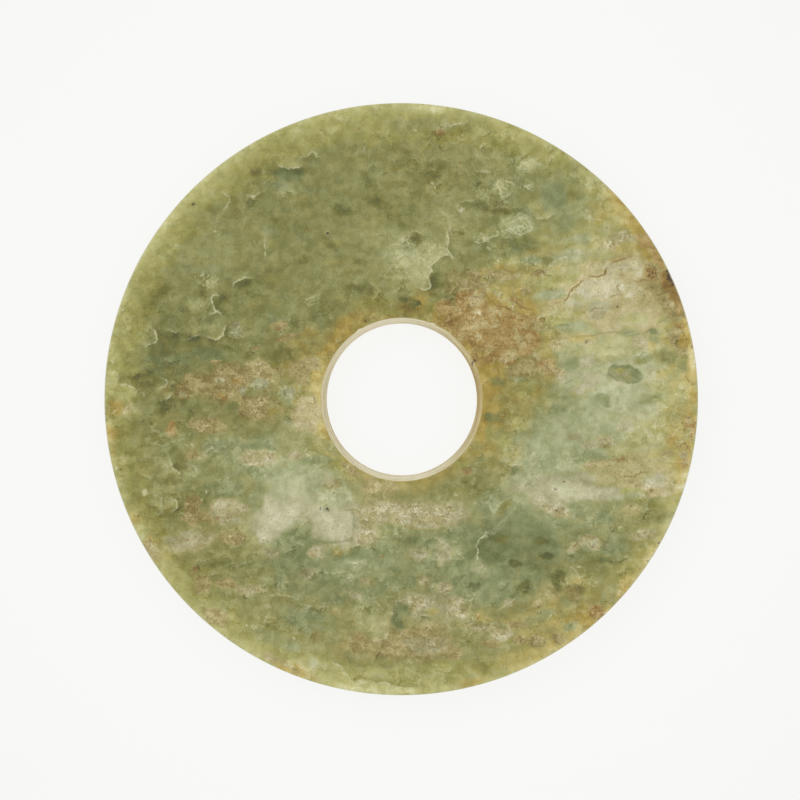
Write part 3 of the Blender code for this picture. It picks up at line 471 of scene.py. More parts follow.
# Dark and pale mottles: x, y, half length, half width, change of light and, if not level, turn.
MOTTLES = (
    (-18.5, 57, 3, 1.8, -24), (-7, 59.5, 3.6, 1.5, -22, -25), (-21.5, 47, 3.2, 1.3, -20, -35),
    (-26, 65, 1.1, 2.6, -12), (-10, 66, 1.2, 4, -10), (-31.5, 51.5, 1.2, 1, -12),
    (-38.5, 54.3, 0.9, 0.7, -12), (-28.5, 58.5, 2, 0.7, -10, 20), (-29.5, 42, 2.2, 1.5, -10),
    (-13, 41.7, 1.2, 1, -14), (-13.5, 38, 2.2, 0.7, -10), (-11, 32.8, 5, 1.3, -20, -14),
    (-43, 27, 1.6, 1.4, -16), (-22, 25, 3, 1.2, -12), (-2, 56, 2, 1.5, -14), (-2, 69, 1.2, 1, -12),
    (2, 74.8, 1.3, 0.8, -16), (8.7, 78, 1, 0.9, -12), (11.5, 70, 1.4, 1.1, -12),
    (28, 58.5, 5, 2, -12, 10), (31, 56.7, 1.3, 0.8, -16), (32.8, 74, 1, 0.8, -10),
    (-43.5, 68.5, 1.4, 1, -14), (-57.5, 57.5, 2, 1.2, -10), (-50, 56, 2, 1.6, -12),
    (-39, 69.5, 3, 1.5, -20), (-31, 68.7, 3, 1, -22), (-72, 32.5, 3, 2.5, -16), (-76, 30, 2, 1.4, -14),
    (-65, 26, 1, 2.2, -12), (-86, 18, 1.8, 1.5, -16), (-60, 32.5, 1.1, 2.6, -22, 20),
    (-78, 6, 5, 2.4, -24, -4), (-72, 15, 4, 4, -10), (-80, -29.5, 1.4, 1.2, -12),
    (-70, -24.5, 2, 1.6, -14), (24, -81.5, 2.6, 1.8, -22), (24, -74, 2, 1.4, -14),
    (-6, -77.5, 2, 3, -14), (3.5, -43, 3.2, 2, -24), (-2, -41.5, 1.4, 1.2, -14),
    (-54, 30.2, 2.2, 1.4, -24, 10), (-48.5, 35, 2.6, 1.3, -22), (-68, 19.3, 4, 1.2, -16),
    (-62, 18.6, 3, 1, -20), (-72.3, -2.5, 3, 2, -22, 10), (-67, -18.5, 1.6, 2.6, -22, 20),
    (-69, -34, 3.5, 1.6, -14, 10), (4.3, 48, 2.2, 2.2, -40), (10.5, 37, 1.7, 1.3, -28),
    (3, 28.8, 3.4, 2, -26), (14.5, 33.5, 2, 2.5, -18), (15.5, 81, 5, 1, -18, 5),
    (-45.5, 59.5, 1.2, 1, -18), (35, 64.5, 5, 1.5, -10, -10), (42, 47, 3, 0.8, -16, -20),
    (39, 45.5, 2, 0.6, -14, -30), (-60, -31, 1.5, 2.5, -16), (-8, 27.5, 2, 1, 12),
    (-62, 28.5, 3, 2, 22, 10), (-57, 22, 2.6, 2.6, 12), (-49.5, 21.5, 2.4, 3, 16),
    (-72, -31.5, 3.4, 1.8, 16, -10), (-84, 2.5, 3, 2.4, 14), (-75, 4.5, 4, 1.5, 8),
    (-64, -22, 3.4, 1.6, 14), (-66, -13.5, 3, 1.4, 12), (-8, -69, 4.4, 3.6, 16),
    (-34, 62.8, 3, 1.1, 14), (-34, 71, 4, 1.2, 12, 5), (6.3, 36.5, 2.2, 2.6, 22), (0, 46, 4.6, 4.6, 14),
    (9, 46, 3.6, 4.5, 10), (5, 40, 4, 3, 14), (36, 52.5, 4.4, 3, 14, 20), (24, 48.7, 3, 1.4, 10),
    (30, 64, 2, 3.5, 14, 25), (39, 71.3, 3, 1.6, 16), (57, 65, 1.4, 2.8, 14), (-40.5, 48.5, 2, 2.4, 10),
    (-59, 35.5, 2.8, 1.8, 22, -20), (-15, 50, 7, 3, 5), (-40, 73.5, 8, 2.6, -10, 24),
    (-10, 81, 3, 4, -8), (8, 82, 8, 3, -8), (8, 68, 3, 4, -12, 30), (2, 51, 3, 3, -10),
    (13, 49, 2.6, 3, -8), (30, 76, 4, 3, -6), (76, 0, 3, 2, -10), (-44, -30, 3.6, 3.4, -12),
    (-64, -28, 8, 2.6, -8, 5), (-76, -36, 4, 4, -8), (-52, -48, 5, 3, -8), (-34, -70, 5, 3, -10),
    (10.5, 33, 2, 2.6, -12), (70, 46, 3, 2.4, -10), (82.5, 36, 2.4, 5, -12, 15), (-87, -8, 3, 4, -8),
    (-68, 9.5, 4, 2, -8), (-55, -14, 4, 2, -8), (61, -48, 3, 2.4, -8), (39, -50, 4, 1.6, -8),
    (-10, -50, 5, 1.6, -8), (-35, 12, 4, 2.4, -8), (-63, 54, 5, 3, -8, 45), (-51, 60, 2.4, 3, -7),
    (38, -30, 6, 1.8, 12), (38, -38.5, 4, 2, 10), (45, -58, 3, 2, 14), (53, -52, 2.6, 2, 12),
    (-12, -60, 2.4, 3, 12), (12, -63, 3, 2, 10), (-8, -42, 3, 2, 8), (68, -35, 3, 1.6, 8),
    (-77, -2.6, 3, 2, 16), (85, 5, 2, 4, 14), (48.5, 16, 3, 2.4, 12), (53, 22, 3, 1.4, 10),
    (76, 15, 3, 3, 12), (78, 22, 3, 1.6, 10), (33, -18, 3, 2, 10), (45, -46, 2.6, 1.4, 10),
    (-44, 44, 3, 2.4, 6), (-30, 80, 6, 3, 6, 20), (57, 66, 2.4, 4, 8, -35), (-25, -76, 6, 2, 6, -15),
    (3, -27, 5, 1.6, 6), (-52, 44, 6, 4, 5), (-80, 34, 3, 3, -8), (-78, 22, 3, 2, 6),
    (52.5, 62, 2, 1.6, -16), (56, 56, 2, 1, 12), (74, 22, 3, 1.4, 10, 15), (68, 26, 4, 1.2, 12, 10),
    (60, 28.5, 4, 1, -8, 10), (46.5, 36, 3, 1, -10, 15), (28, -6, 3, 1.6, -22), (33, -21, 3, 1.2, -12),
    (45, -38, 4, 1.2, -8, 5), (60, -52, 4, 3, -8, 20), (66, -36, 5, 1.4, -8, 10),
    (72, -55, 3, 1.6, 10, 40), (2, 88.6, 18, 2.4, 8), (-70, -50, 3, 2, 12, -45),
    (-66, -53, 2, 1.4, 10, -45), (13.4, 23.4, 2, 3, -14, 40), (83, 31, 3, 6, -10, 20),
    (86, 20, 2, 4, -6, 10), (-80, 15, 4, 1.6, 8), (-14, -64, 3, 1.6, 8), (60, 46, 6, 2, 8, 15),
    (75, 24, 3, 2, 6), (-57, -62, 4, 2, 8, -40), (-50, -38, 5, 1.6, 10, 5), (-33, -35, 3, 3, 4),
    (-14, -44, 2, 3, -8), (-88, -6, 3, 7, -6), (0, -61, 3, 2.4, -15), (-8, 28, 2.4, 1.4, -12),
    (-82, 24, 3, 2.6, -12), (-67, -10, 3, 3.4, -12), (28, -29, 3, 1.8, -12), (-54, 8, 2.4, 2, -12),
    (0, 53, 3, 2.4, -12), (9, 50, 2.4, 3, -8), (-33, 19, 2.4, 1.8, -12), (-68, 1, 3, 2.4, -12),
    (-59, -51, 3, 2.4, -12), (-59, -14, 2.4, 2, -8), (-34, -5, 2, 3, -10), (75, 32, 3, 2, -12),
    (-73, -42, 3, 2, -10, 20), (-74, -32, 2, 3, -10), (43, 75, 3, 2, -12, -30), (38, -8, 3, 3, -8),
    (8, -77, 3, 2, -12), (29, 44, 3, 1.8, -10), (10, 88, 5, 1.6, 14), (81, -35, 3, 3.4, 12, -20),
    (-11, -66, 3, 3, 12), (78, -30, 4, 1.6, 8), (-48, -42, 3, 3, 12), (88, 11, 1.6, 3, 10),
    (23, -42, 2.4, 3, 8), (80, 26, 3, 2, 8), (-88, -11, 1.6, 3, 18), (51, -72, 4, 2, 10, 30),
    (-54, -61, 3, 2.4, 10, -40), (-13, -29, 3, 1.6, 10), (-19, -33, 3, 1.6, 6), (-6, -88, 6, 1.4, 10),
    (30, -57, 3, 2, 8), (53, 22, 3, 1.6, 8), (27, 58, 5, 3, -7), (3, 47, 2.6, 2.4, -12),
    (-58, -36, 2, 2, -12), (-59, 36, 1.6, 1.6, -10), (-30, 41, 2.4, 2, -12), (-34, 11, 2, 2, -12),
    (-18, -25, 3, 1.6, -10), (-46, -5, 2.4, 2, -12), (-39, 8, 1.6, 2, -12), (9, 79, 3, 2, -12),
    (24, 15, 2, 2, -10), (-8, 27.6, 2, 1.2, -10), (-83, -8, 2, 3, -12), (-41, 71, 2, 2, -12),
    (-46, 18, 2.4, 1.6, -10), (-51, 20, 1.6, 2, -10), (47, -11, 3, 1.6, -8), (-75, -10, 3, 1.8, -10),
    (17, 22, 1.6, 2, -10), (-59, -27, 3, 1.4, -10), (64, 18, 4, 1.6, 12, 5), (10, 87.4, 4, 1.6, 12),
    (58, 3, 3, 1.6, 10), (11, -67, 3, 1.6, 12), (-19, -18, 2.6, 1.4, 10, -40), (62, -1, 2, 1.6, 8),
    (49, 9, 2.4, 1.4, 8), (13, 39, 2, 2, 10), (-7, -39, 3, 1.4, 10), (81, 6, 2, 2.4, 10),
    (43, -16, 3, 1.8, 8), (-35, -22, 3, 1.6, 10), (-3, -26, 4, 1.4, 10), (15, -32, 3, 1.4, 8),
    (73, 24, 3, 1.4, 8), (84, 1, 2, 3, 8), (78, 33.4, 3, 1, -12), (6, 30, 2, 1.4, 8),
    (-30, 1, 2.4, 2.4, -13), (-26, -62, 3, 2, -10), (68, 25, 4, 1.6, -10, 8), (-15, -84, 3, 1.6, -10),
    (9, 69, 2.6, 3.4, -11), (-60, -59, 2.4, 2, -10), (14, 26, 2, 2, -10), (-80, -21, 3, 2.4, -10),
    (17, 80, 3, 1.6, -10), (-35, -54, 3, 1.6, -10), (-47, -15, 3, 1.6, -10), (-39, -69, 3, 2, -10, -20),
    (-50, 59, 2, 2, -10), (-19, 18, 2, 2, -10, -40), (40, 11, 2, 1.6, -8), (26, 36, 2.4, 1.6, -8),
    (-55, 1, 3, 2, -10), (-80, -37, 2, 3, 12), (48, 17, 3, 1.6, 10), (-26, -4, 1.4, 3, 8),
    (10, 86, 4, 1.6, 8), (58, 30, 3, 1.6, 8), (-63, -24, 3, 1.6, 10), (-13, -56, 3, 1.6, 10),
    (-24, -21, 3, 1.4, 10), (6, -73, 3, 1.4, 8), (67, -7, 3, 1.4, 6), (39, -27, 3, 1.4, 8),
    (88, 11, 1.4, 2.4, 8), (-75, 16, 3, 1.6, 10), (36, -40, 3, 1.4, 8), (-8, -80, 3, 1.6, 10),
    (3, 57, 2, 1.6, 10), (3, -51, 3, 1.4, 10), (15, -76, 3, 1.4, 8), (51, -35, 3, 1.4, -12),
    (-26, -25, 2.4, 2, -12), (-64, 4, 2, 1.6, -12), (-76, 27, 2.4, 2, -12), (25, 22, 2, 1.6, -10),
    (51, 34, 2, 1.4, -10), (-28, -20, 2.4, 1.4, -12), (-39, 38, 2.4, 2, -12), (2, 30, 2, 1.2, -12),
    (25, 14, 1.6, 1.6, -10), (30, -66, 2.4, 1.4, -12), (-18, -74, 2.4, 1.6, -12),
    (43, -25, 2.4, 1.2, -10), (-65, -31, 1.6, 1.6, -12), (42, -50, 2.4, 1.4, -12),
    (-30, 22, 2, 1.4, -10), (-38, -14, 2.4, 1.4, -10), (-15, -62, 2, 1.4, -12), (14, -57, 2, 1.4, -10),
    (50.4, -52, 1.4, 1.6, 12), (1, -81, 3, 1.6, 12), (-12, -64, 2, 1.6, 12), (-56, 31, 1.2, 1.6, 12),
    (-81, 2, 2.4, 1.6, 12), (-78, -25, 2.4, 1.6, 12), (-48, -30, 2.4, 1.4, 12),
    (-50, -25, 2.4, 1.4, 10), (81, 21, 2, 1.6, 10), (23, 50, 2.4, 1.4, 10), (-15, 87, 3, 1.4, 12),
    (20, -31, 2.4, 1.4, 10), (-68, 29, 2, 2, 12), (43, -45, 2.4, 1.2, 10), (0, -43, 2, 1.4, 8),
    (-79, -40, 1.6, 2.4, 12, 20), (72, -24, 2.4, 1.2, 10), (-79, 14, 2.4, 1.4, 10),
    (6, 30.4, 1.6, 1.2, 10), (-51, 21, 2, 2, -8), (-59, 36, 2, 1.6, -11), (-58, -40, 2, 1.4, -10),
    (77, 43, 2, 1.4, -10), (-15, -60, 2, 1.4, -8), (-58, 52, 2, 1.4, -10), (7, -46, 2, 1.2, -10),
    (-33, -2, 2, 1.4, -8), (6, 29, 1.6, 1, 10), (11, -36, 2.4, 1.4, 10), (-58, 43, 2, 1.4, 10),
    (28, -38, 1.6, 1.4, 10), (44, -1, 2, 1.4, 10), (55, 40, 2.4, 1.2, 10, 30), (49, -30, 3, 1, 10),
    (70, 38, 2.4, 1.4, 10), (-31, -34, 2, 1.6, 8), (-30, 81, 3, 1.4, 10, -20), (50, 9, 2, 1.4, 10),
    (59, -66, 3, 1, 10, 40), (-88, -10, 1, 3, 10), (-19, -35, 3, 1.6, 8), (-67, -18, 1.6, 2.4, 10),
    (-34, -11, 2, 1.4, 10), (65, -55, 1.4, 2, 10, 40), (-33, 18, 2.4, 1.4, -10), (-48, 32, 2, 1.6, -10),
    (-65, -7, 1.6, 1.2, -10), (-18, -52, 2.4, 1.2, -10), (10, 66, 2, 1.6, -10), (40, -33, 2, 1.4, -10),
    (78, -11, 2, 1.6, -10), (-85, 3, 1.4, 2, -10), (-56, -36, 2, 1.2, -12), (84, 29, 1.4, 1.6, -8),
    (39, 11, 1.6, 1.4, -10), (-33, -6, 2, 1.4, -10), (-53, 47, 2.4, 1.6, -8), (62, -45, 2, 1.4, -10),
    (20, -21, 2, 1.4, -10), (88, -8, 1, 1.6, -10), (78, -21, 2.4, 1.4, 10), (-6, -39, 2.4, 1.2, 12),
    (-21, -80, 2.4, 1.6, 10), (-13, -78.6, 2, 1.4, 10), (22, 86, 3, 1.2, 10, -14),
    (-39, -44, 2, 1.2, 10), (83, -13, 3, 3, 8), (-38, 64, 2, 1.4, -10), (-60, 37.4, 2, 2.4, -10),
    (-3, 26, 2, 1, -10), (-52, 56, 2, 1.4, -8), (15, -87, 2.4, 1, 10), (88, 11, 1, 1.6, 8),
    (14, 61, 1.6, 1.4, 10), (45, 35, 1.6, 1.2, 10), (-72, -43, 2, 1.4, -10), (-69, 51, 2, 1.6, -10),
    (-70, 10, 2, 1.4, -10), (47, -33.4, 3, 1.2, 8), (39, 11, 2, 1.2, -8), (55, -26, 2, 1.2, -10),
    (7, -54, 2, 1.2, -10), (-8, 28, 2, 1.2, -10), (43, -57, 1.6, 1.2, 8), (14, 41, 1.6, 1.4, 8),
    (-4, -43, 2, 1, 8),
)

# Crisp inclusions, laid over the rest like patches.
INCLUSIONS = (
    ("sea", (68, 7.8, 5, 2.4, 150, -12), (61.2, -0.2, 2.6, 1.3, 165, -40), (62, -1, 1.6, 0.8, 152, -45),
        (22, -56.6, 1.8, 1.2, 116), (16.5, -56, 1, 0.8, 130), (20.5, -47, 2, 1.5, 132),
        (34, -21.3, 1.6, 0.9, 136, 20)),
    ("milk", (63.6, 7.4, 1.8, 1.3, 160, 40), (60.6, 0.9, 0.8, 0.4, 168, -30)),
    ("oatmeal", (67.4, 7.4, 1.9, 1.2, 160, -20)), ("sea", (71, 7.8, 1.5, 1.4, 142, -20)),
    ("milk", (70, 6.4, 1.4, 0.5, 160, -25)),
    ("fern", (66.4, 9.4, 2.6, 0.5, 138, 4), (29.6, -42.2, 2.6, 1.5, 120), (42, -42.6, 2.2, 1.3, 118),
        (43.9, -47.8, 2.4, 1.1, 101, 5), (40.4, -49, 2.4, 0.9, 124, 10),
        (34.6, -49.7, 1.9, 1.1, 103, -5), (76, 20.4, 1.6, 0.8, 148, -20)),
    ("lime", (66.2, 8.8, 1.4, 0.7, 154), (-36, 79, 1.4, 1.4, 158)),
    ("olive", (44, 42, 1.6, 1.4, 136), (51.2, 62, 1.6, 1.2, 128), (30.6, -33.2, 3, 1.2, 136, 47),
        (60.6, -48.6, 2.4, 1.3, 126, 10), (27.4, -5.5, 2.4, 1.4, 126, -10), (4.3, 29.2, 1.6, 1.1, 106),
        (-68.6, -15.8, 1.9, 1, 128, 20), (-67.8, -20.4, 1.6, 1.4, 120, -30),
        (42.4, -42.8, 2, 1.2, 116)), ("sea", (26.8, -41.8, 0.8, 1.2, 112)),
    ("mid_sea", (30, -48, 2, 1.4, 122)),
    ("khaki", (46.8, -58, 1.7, 2, 150, 12), (-77.6, -28.2, 0.8, 0.7, 190)),
    ("olive", (47.2, -55.2, 1.8, 3, 122, 14), (48, -53.6, 1.4, 1.9, 97, 30),
        (30.4, -42.4, 2, 1.2, 112, 20)), ("thin_sea", (37.2, -57.2, 3, 1.6, 118, 45)),
    ("mid_sea", (34.6, -59.3, 1.8, 1, 128, 20)), ("khaki", (52.4, -58.8, 2.6, 2.8, 134, 20)),
    ("cream", (17.8, 57.4, 1, 0.6, 180, 30), (26.5, 45.6, 1.1, 0.5, 180, -30),
        (24.4, -50.6, 0.8, 0.5, 172), (-20.4, -38, 5, 3.8, 186)), ("gold", (53.3, 26, 1.2, 0.9, 170)),
    ("straw", (81, 28.7, 1.3, 1.1, 166)), ("fawn", (46.4, 29.2, 2, 0.8, 170, 10)),
    ("beige", (-26.2, -46.5, 2.2, 1.6, 168, -10)),
    ("mist", (-42.6, 4.4, 2.8, 1.7, 146), (-34.6, 2, 2.4, 1.8, 148), (-49.8, 21.4, 1.5, 2.6, 136, 10)),
    ("amber", (-26, 6.4, 1.8, 2.6, 174)),
    ("rust", (78, 41.4, 1.2, 2, 152, 35), (84.2, 28, 1.2, 2, 150)), ("tan", (38, 11, 2, 1.4, 156)),
    ("fern", (61, -48.8, 1.8, 1, 118)),
)

# Pale lines: strength, the side of the line that is paler with painted light, the other side taking
# painted shade (1 left of its direction, -1 right,
# 0 neither), and its points.
PALE_LINES = (
    (0.9, 1, ((-46.8, 61.5), (-45, 61.2), (-43, 62.2), (-41.5, 62.8))),
    (0.7, 0, ((-45, 60.4), (-44.5, 59.2))),
    (0.7, 0, ((-47.2, 59), (-47.6, 57.8), (-48, 56), (-46.5, 55))),
    (0.8, 0, ((-41.8, 65.3), (-40.2, 66.4))), (0.5, 0, ((-41.5, 70), (-41.5, 67.6))),
    (0.5, 0, ((-41.3, 73), (-40.6, 73.9))),
    (0.8, 1, ((-37.8, 70.8), (-36, 70), (-34.5, 69.7), (-33.2, 70.2), (-31.5, 70.1), (-30, 70.8))),
    (0.7, 1, ((-30.5, 73), (-28.5, 73.3), (-27.2, 74.6), (-26.3, 74.7), (-25.3, 73.2), (-24.5, 73.5))),
    (0.6, 1, ((-37.5, 63), (-36, 62.2), (-34.2, 63), (-32, 62.4))),
    (0.7, 0, ((-41.2, 48.5), (-41, 45), (-41.4, 42))),
    (0.6, 0, ((-54.5, 56.5), (-52.5, 58.5), (-51.8, 61), (-55, 63.2))),
    (1, -1, ((-54.8, 31.4), (-57, 31.8), (-57.4, 30), (-57, 28.5), (-56, 27), (-55.4, 26.6),
        (-57, 25.8), (-58.5, 25.5))),
    (0.9, 1, ((-51, 33.9), (-50.2, 35.6), (-48.5, 36.2), (-47, 36.9), (-44.5, 36.5))),
    (0.9, -1, ((-76, 21.6), (-74.6, 20.6), (-74.4, 19.2), (-73.7, 18), (-74.8, 16.9), (-76.4, 16.4),
        (-78, 15.4))), (0.4, 1, ((-71, 21), (-69.5, 20.4), (-68, 20.3), (-66.6, 21.2))),
    (0.5, 1, ((-65.5, 17.8), (-64, 18.2), (-62.5, 19), (-60.8, 19.4))),
    (0.9, 1, ((-59.5, 19), (-57.6, 18.2), (-56, 17.6), (-55, 18.4), (-54.2, 19.2), (-53.8, 20.6),
        (-53, 22.5))), (0.7, -1, ((-88.5, 9), (-87, 8.4), (-86, 7.2), (-85.5, 6), (-86.4, 4.6))),
    (0.7, -1, ((-86, 4.4), (-84, 4.6), (-81.8, 4), (-80.3, 2.6), (-80.6, 0.8))),
    (0.6, -1, ((-79, 2.4), (-77.8, 1.4), (-77.3, 0))),
    (0.6, -1, ((-73, 6.6), (-71, 6.2), (-70.4, 5.2), (-71.4, 4), (-73, 3.4))),
    (0.5, 1, ((-74, -0.6), (-71.5, 0), (-69.8, 0.8), (-69, 2.2))),
    (0.7, -1, ((-70.2, -17.5), (-69.8, -19.4), (-68.8, -21.2), (-67.2, -22.6), (-66, -24.5))),
    (0.8, -1, ((-70, -29.6), (-68.4, -30.8), (-67.4, -31.8), (-67.6, -33), (-69.4, -33.8))),
    (0.6, 0, ((-30.5, 29.9), (-28.8, 30.2), (-27, 30.6), (-25, 31.4))),
    (0.5, 0, ((-28.6, 27.6), (-27.4, 28.6), (-25.5, 29.2))),
    (0.6, 0, ((2, 51.2), (2.6, 49.6), (1.6, 48), (2.5, 46.5), (2, 45.2))),
    (0.6, 0, ((2.4, 50.4), (4.4, 51), (6.4, 49.8))), (0.5, 0, ((5, 45.2), (4.8, 43))),
    (0.9, -1, ((15.2, 52.6), (13.9, 50.4), (14.3, 48), (14, 46.4), (13.8, 44.8), (15.4, 43.4),
        (13, 43.3), (11.5, 42.6), (10.4, 41.6), (9, 40.6), (8.2, 40), (9.9, 38.6), (8.1, 37.8),
        (7.9, 36.8), (8.6, 35.5), (8.9, 34), (8, 33.1), (6.4, 33.2), (5, 34))),
    (0.5, 0, ((1.9, 35.4), (1.6, 34), (0.8, 32.4))), (0.5, 0, ((1, 38.5), (3, 36.6), (4.4, 34.6))),
    (0.6, 1, ((12.3, 81.4), (13.5, 82.5), (16, 83.2), (19.5, 83.6), (21.4, 84.1))),
    (0.5, 1, ((21.2, 68.9), (24, 69), (26.5, 69), (28.4, 69.3))),
    (0.4, 0, ((21.7, 66.2), (21.2, 64.8))),
    (0.9, 0, ((28.7, 67.5), (29.3, 65.6), (28.8, 64.6), (30, 63), (30.4, 61.4), (31.2, 59.8),
        (31.9, 61.6), (33, 62.7))), (0.7, 0, ((30.2, 66.4), (31.8, 65.4), (33.4, 65.6), (34.4, 64.6))),
    (0.8, 0, ((36.2, 65.2), (37.5, 64.4), (38.4, 63.4), (38.5, 65), (40.2, 65.4))),
    (0.4, 1, ((16, 57.8), (17.4, 58.8), (19, 60), (22, 60.1), (24.5, 60.6), (25.7, 62.2))),
    (0.65, 0, ((30, 55), (31, 53.6), (30.1, 52.1), (31.5, 51), (33, 51.5), (34.5, 50.5), (36, 49.7),
        (37.5, 49.9), (38, 51), (39.5, 51), (39.3, 52.5), (38, 54), (37.5, 55.2), (36, 54.5),
        (35.5, 55.8), (34, 55), (33.5, 53.5), (32, 53.6))),
    (0.8, 0, ((33, 51.6), (34.6, 52.6), (36, 52), (37, 53), (38, 52.4))),
    (0.8, 0, ((21.2, 47.7), (23.5, 47.3), (25, 47.6), (25.4, 49), (24.2, 50.2))),
    (0.8, 0, ((25.6, 48.4), (28, 49), (29.2, 50), (28.5, 51.6))),
    (0.7, 0, ((36, 72.6), (38, 71.4), (39.4, 72.4), (41.6, 71.2))),
    (0.7, 0, ((56.2, 67.6), (57, 65.8), (56.4, 64.4), (57.6, 63.2))),
    (0.6, 0, ((60.6, 60.8), (61.8, 59.4), (62.6, 59.8))),
    (0.4, 0, ((52.5, 58), (55, 56.5), (56, 54.6), (62, 54))),
    (0.7, 1, ((-10, -72.6), (-7.5, -73.1), (-5.5, -72.6), (-4.2, -71.5), (-4, -69.6))),
    (0.9, 0, ((-7.9, -61.2), (-7.2, -62), (-6.2, -63.6))),
    (0.8, -1, ((-20.5, -79.5), (-18, -81), (-17, -83), (-16, -84.6), (-15, -85.4), (-12, -85),
        (-10, -85.3), (-7.5, -86), (-5, -85.8), (-3, -86.5), (-1.5, -87.4), (0, -87.2), (3, -87.2),
        (6, -87.3))),
    (1, 0, ((22.6, -49.6), (22.9, -47.6), (23.2, -46), (22.8, -44.6), (23.4, -43.2), (24.6, -41.8),
        (25.6, -40.4), (25.4, -39))),
    (0.3, 0, ((25.8, -41.5), (28, -39.5), (30, -37.4), (32, -35.4), (34, -33.4), (35.4, -31),
        (33.6, -29.6))), (0.4, 0, ((26.4, -42), (28.4, -40.4), (30.6, -38.6))),
    (0.6, 0, ((33, -29.8), (31, -30.6), (29.4, -32), (27.9, -34.4), (27, -33), (26.4, -30.6),
        (24.4, -31.6))), (0.5, 0, ((33.4, -30.4), (35.4, -31.2), (37.4, -31.8))),
    (0.5, 0, ((27.6, -50.4), (28, -52.2))), (0.5, 0, ((-16.6, -49.8), (-14.4, -49.2), (-12, -50))),
    (0.4, 0, ((49.4, -52.6), (50.2, -55), (49.6, -57.4))),
    (0.4, 0, ((-64, -12.6), (-62.4, -14), (-63.8, -15.2))),
    (0.3, 1, ((-76.5, -13), (-72.5, -14.2), (-70, -13.4), (-67.6, -12.2), (-64.6, -11.8))),
    (0.6, 0, ((-65, -19.6), (-63, -20.4), (-61.6, -22), (-62.8, -23.6), (-65, -22.6))),
    (0.3, 1, ((-80, -22), (-77, -23.4), (-74.6, -23.8), (-72.6, -22.8))),
    (0.5, -1, ((-75, -29), (-72.6, -30.2), (-72.2, -32), (-73.4, -33.6))),
    (0.5, 0, ((-57.4, -23.8), (-55.6, -24.4), (-53.6, -24.2))),
    (0.5, 1, ((-41, -59.6), (-37.6, -59), (-34, -59.6), (-31.6, -60.8))),
    (0.5, 1, ((-25, -51.6), (-20.6, -52.8), (-15.6, -51.8))),
    (0.4, 1, ((-30.4, -62), (-26, -63.2), (-22, -62.4))),
    (0.5, 0, ((-12.6, -60.4), (-10.2, -59.4), (-8.4, -60.6))),
    (0.6, 1, ((39.4, 56.4), (41, 54.8), (44.4, 55), (46, 56.4))),
    (0.5, -1, ((53.6, 59.4), (55.8, 57.6), (57.6, 55.4), (57, 53.6))),
    (0.4, 1, ((31.6, 40.6), (35.4, 41.6), (39.6, 40.6))),
    (0.5, 1, ((40, 24.4), (45, 25.6), (49, 24.6), (53.6, 25.4))),
    (0.4, 1, ((46.4, 31.2), (51.6, 32.2), (56.6, 31.4))),
    (0.4, 1, ((56, 14.6), (59.6, 13), (63.6, 13.6), (66, 12.6))),
    (0.5, 1, ((70.6, -40.6), (74, -39.8), (78, -39.6))),
    (0.4, 1, ((19.6, -68), (25.6, -67.4), (31, -68.6))),
    (0.5, 0, ((36.4, -64.4), (39.6, -62.6), (42, -61.2))),
    (0.5, 0, ((29.4, -63.8), (32.6, -61.6), (34.8, -59.8))),
    (0.6, 0, ((49.8, -50.4), (52.4, -51.2), (53.4, -53.8), (56.2, -53))),
    (0.25, 1, ((26.4, 57), (29.6, 58.6), (33.2, 57.8))),
    (0.5, 1, ((-47, 3.4), (-44.2, 4.6), (-41, 3.6), (-39.6, 1.4))),
    (0.4, -1, ((-33, 5.6), (-30.6, 4), (-31, 1.4))),
)

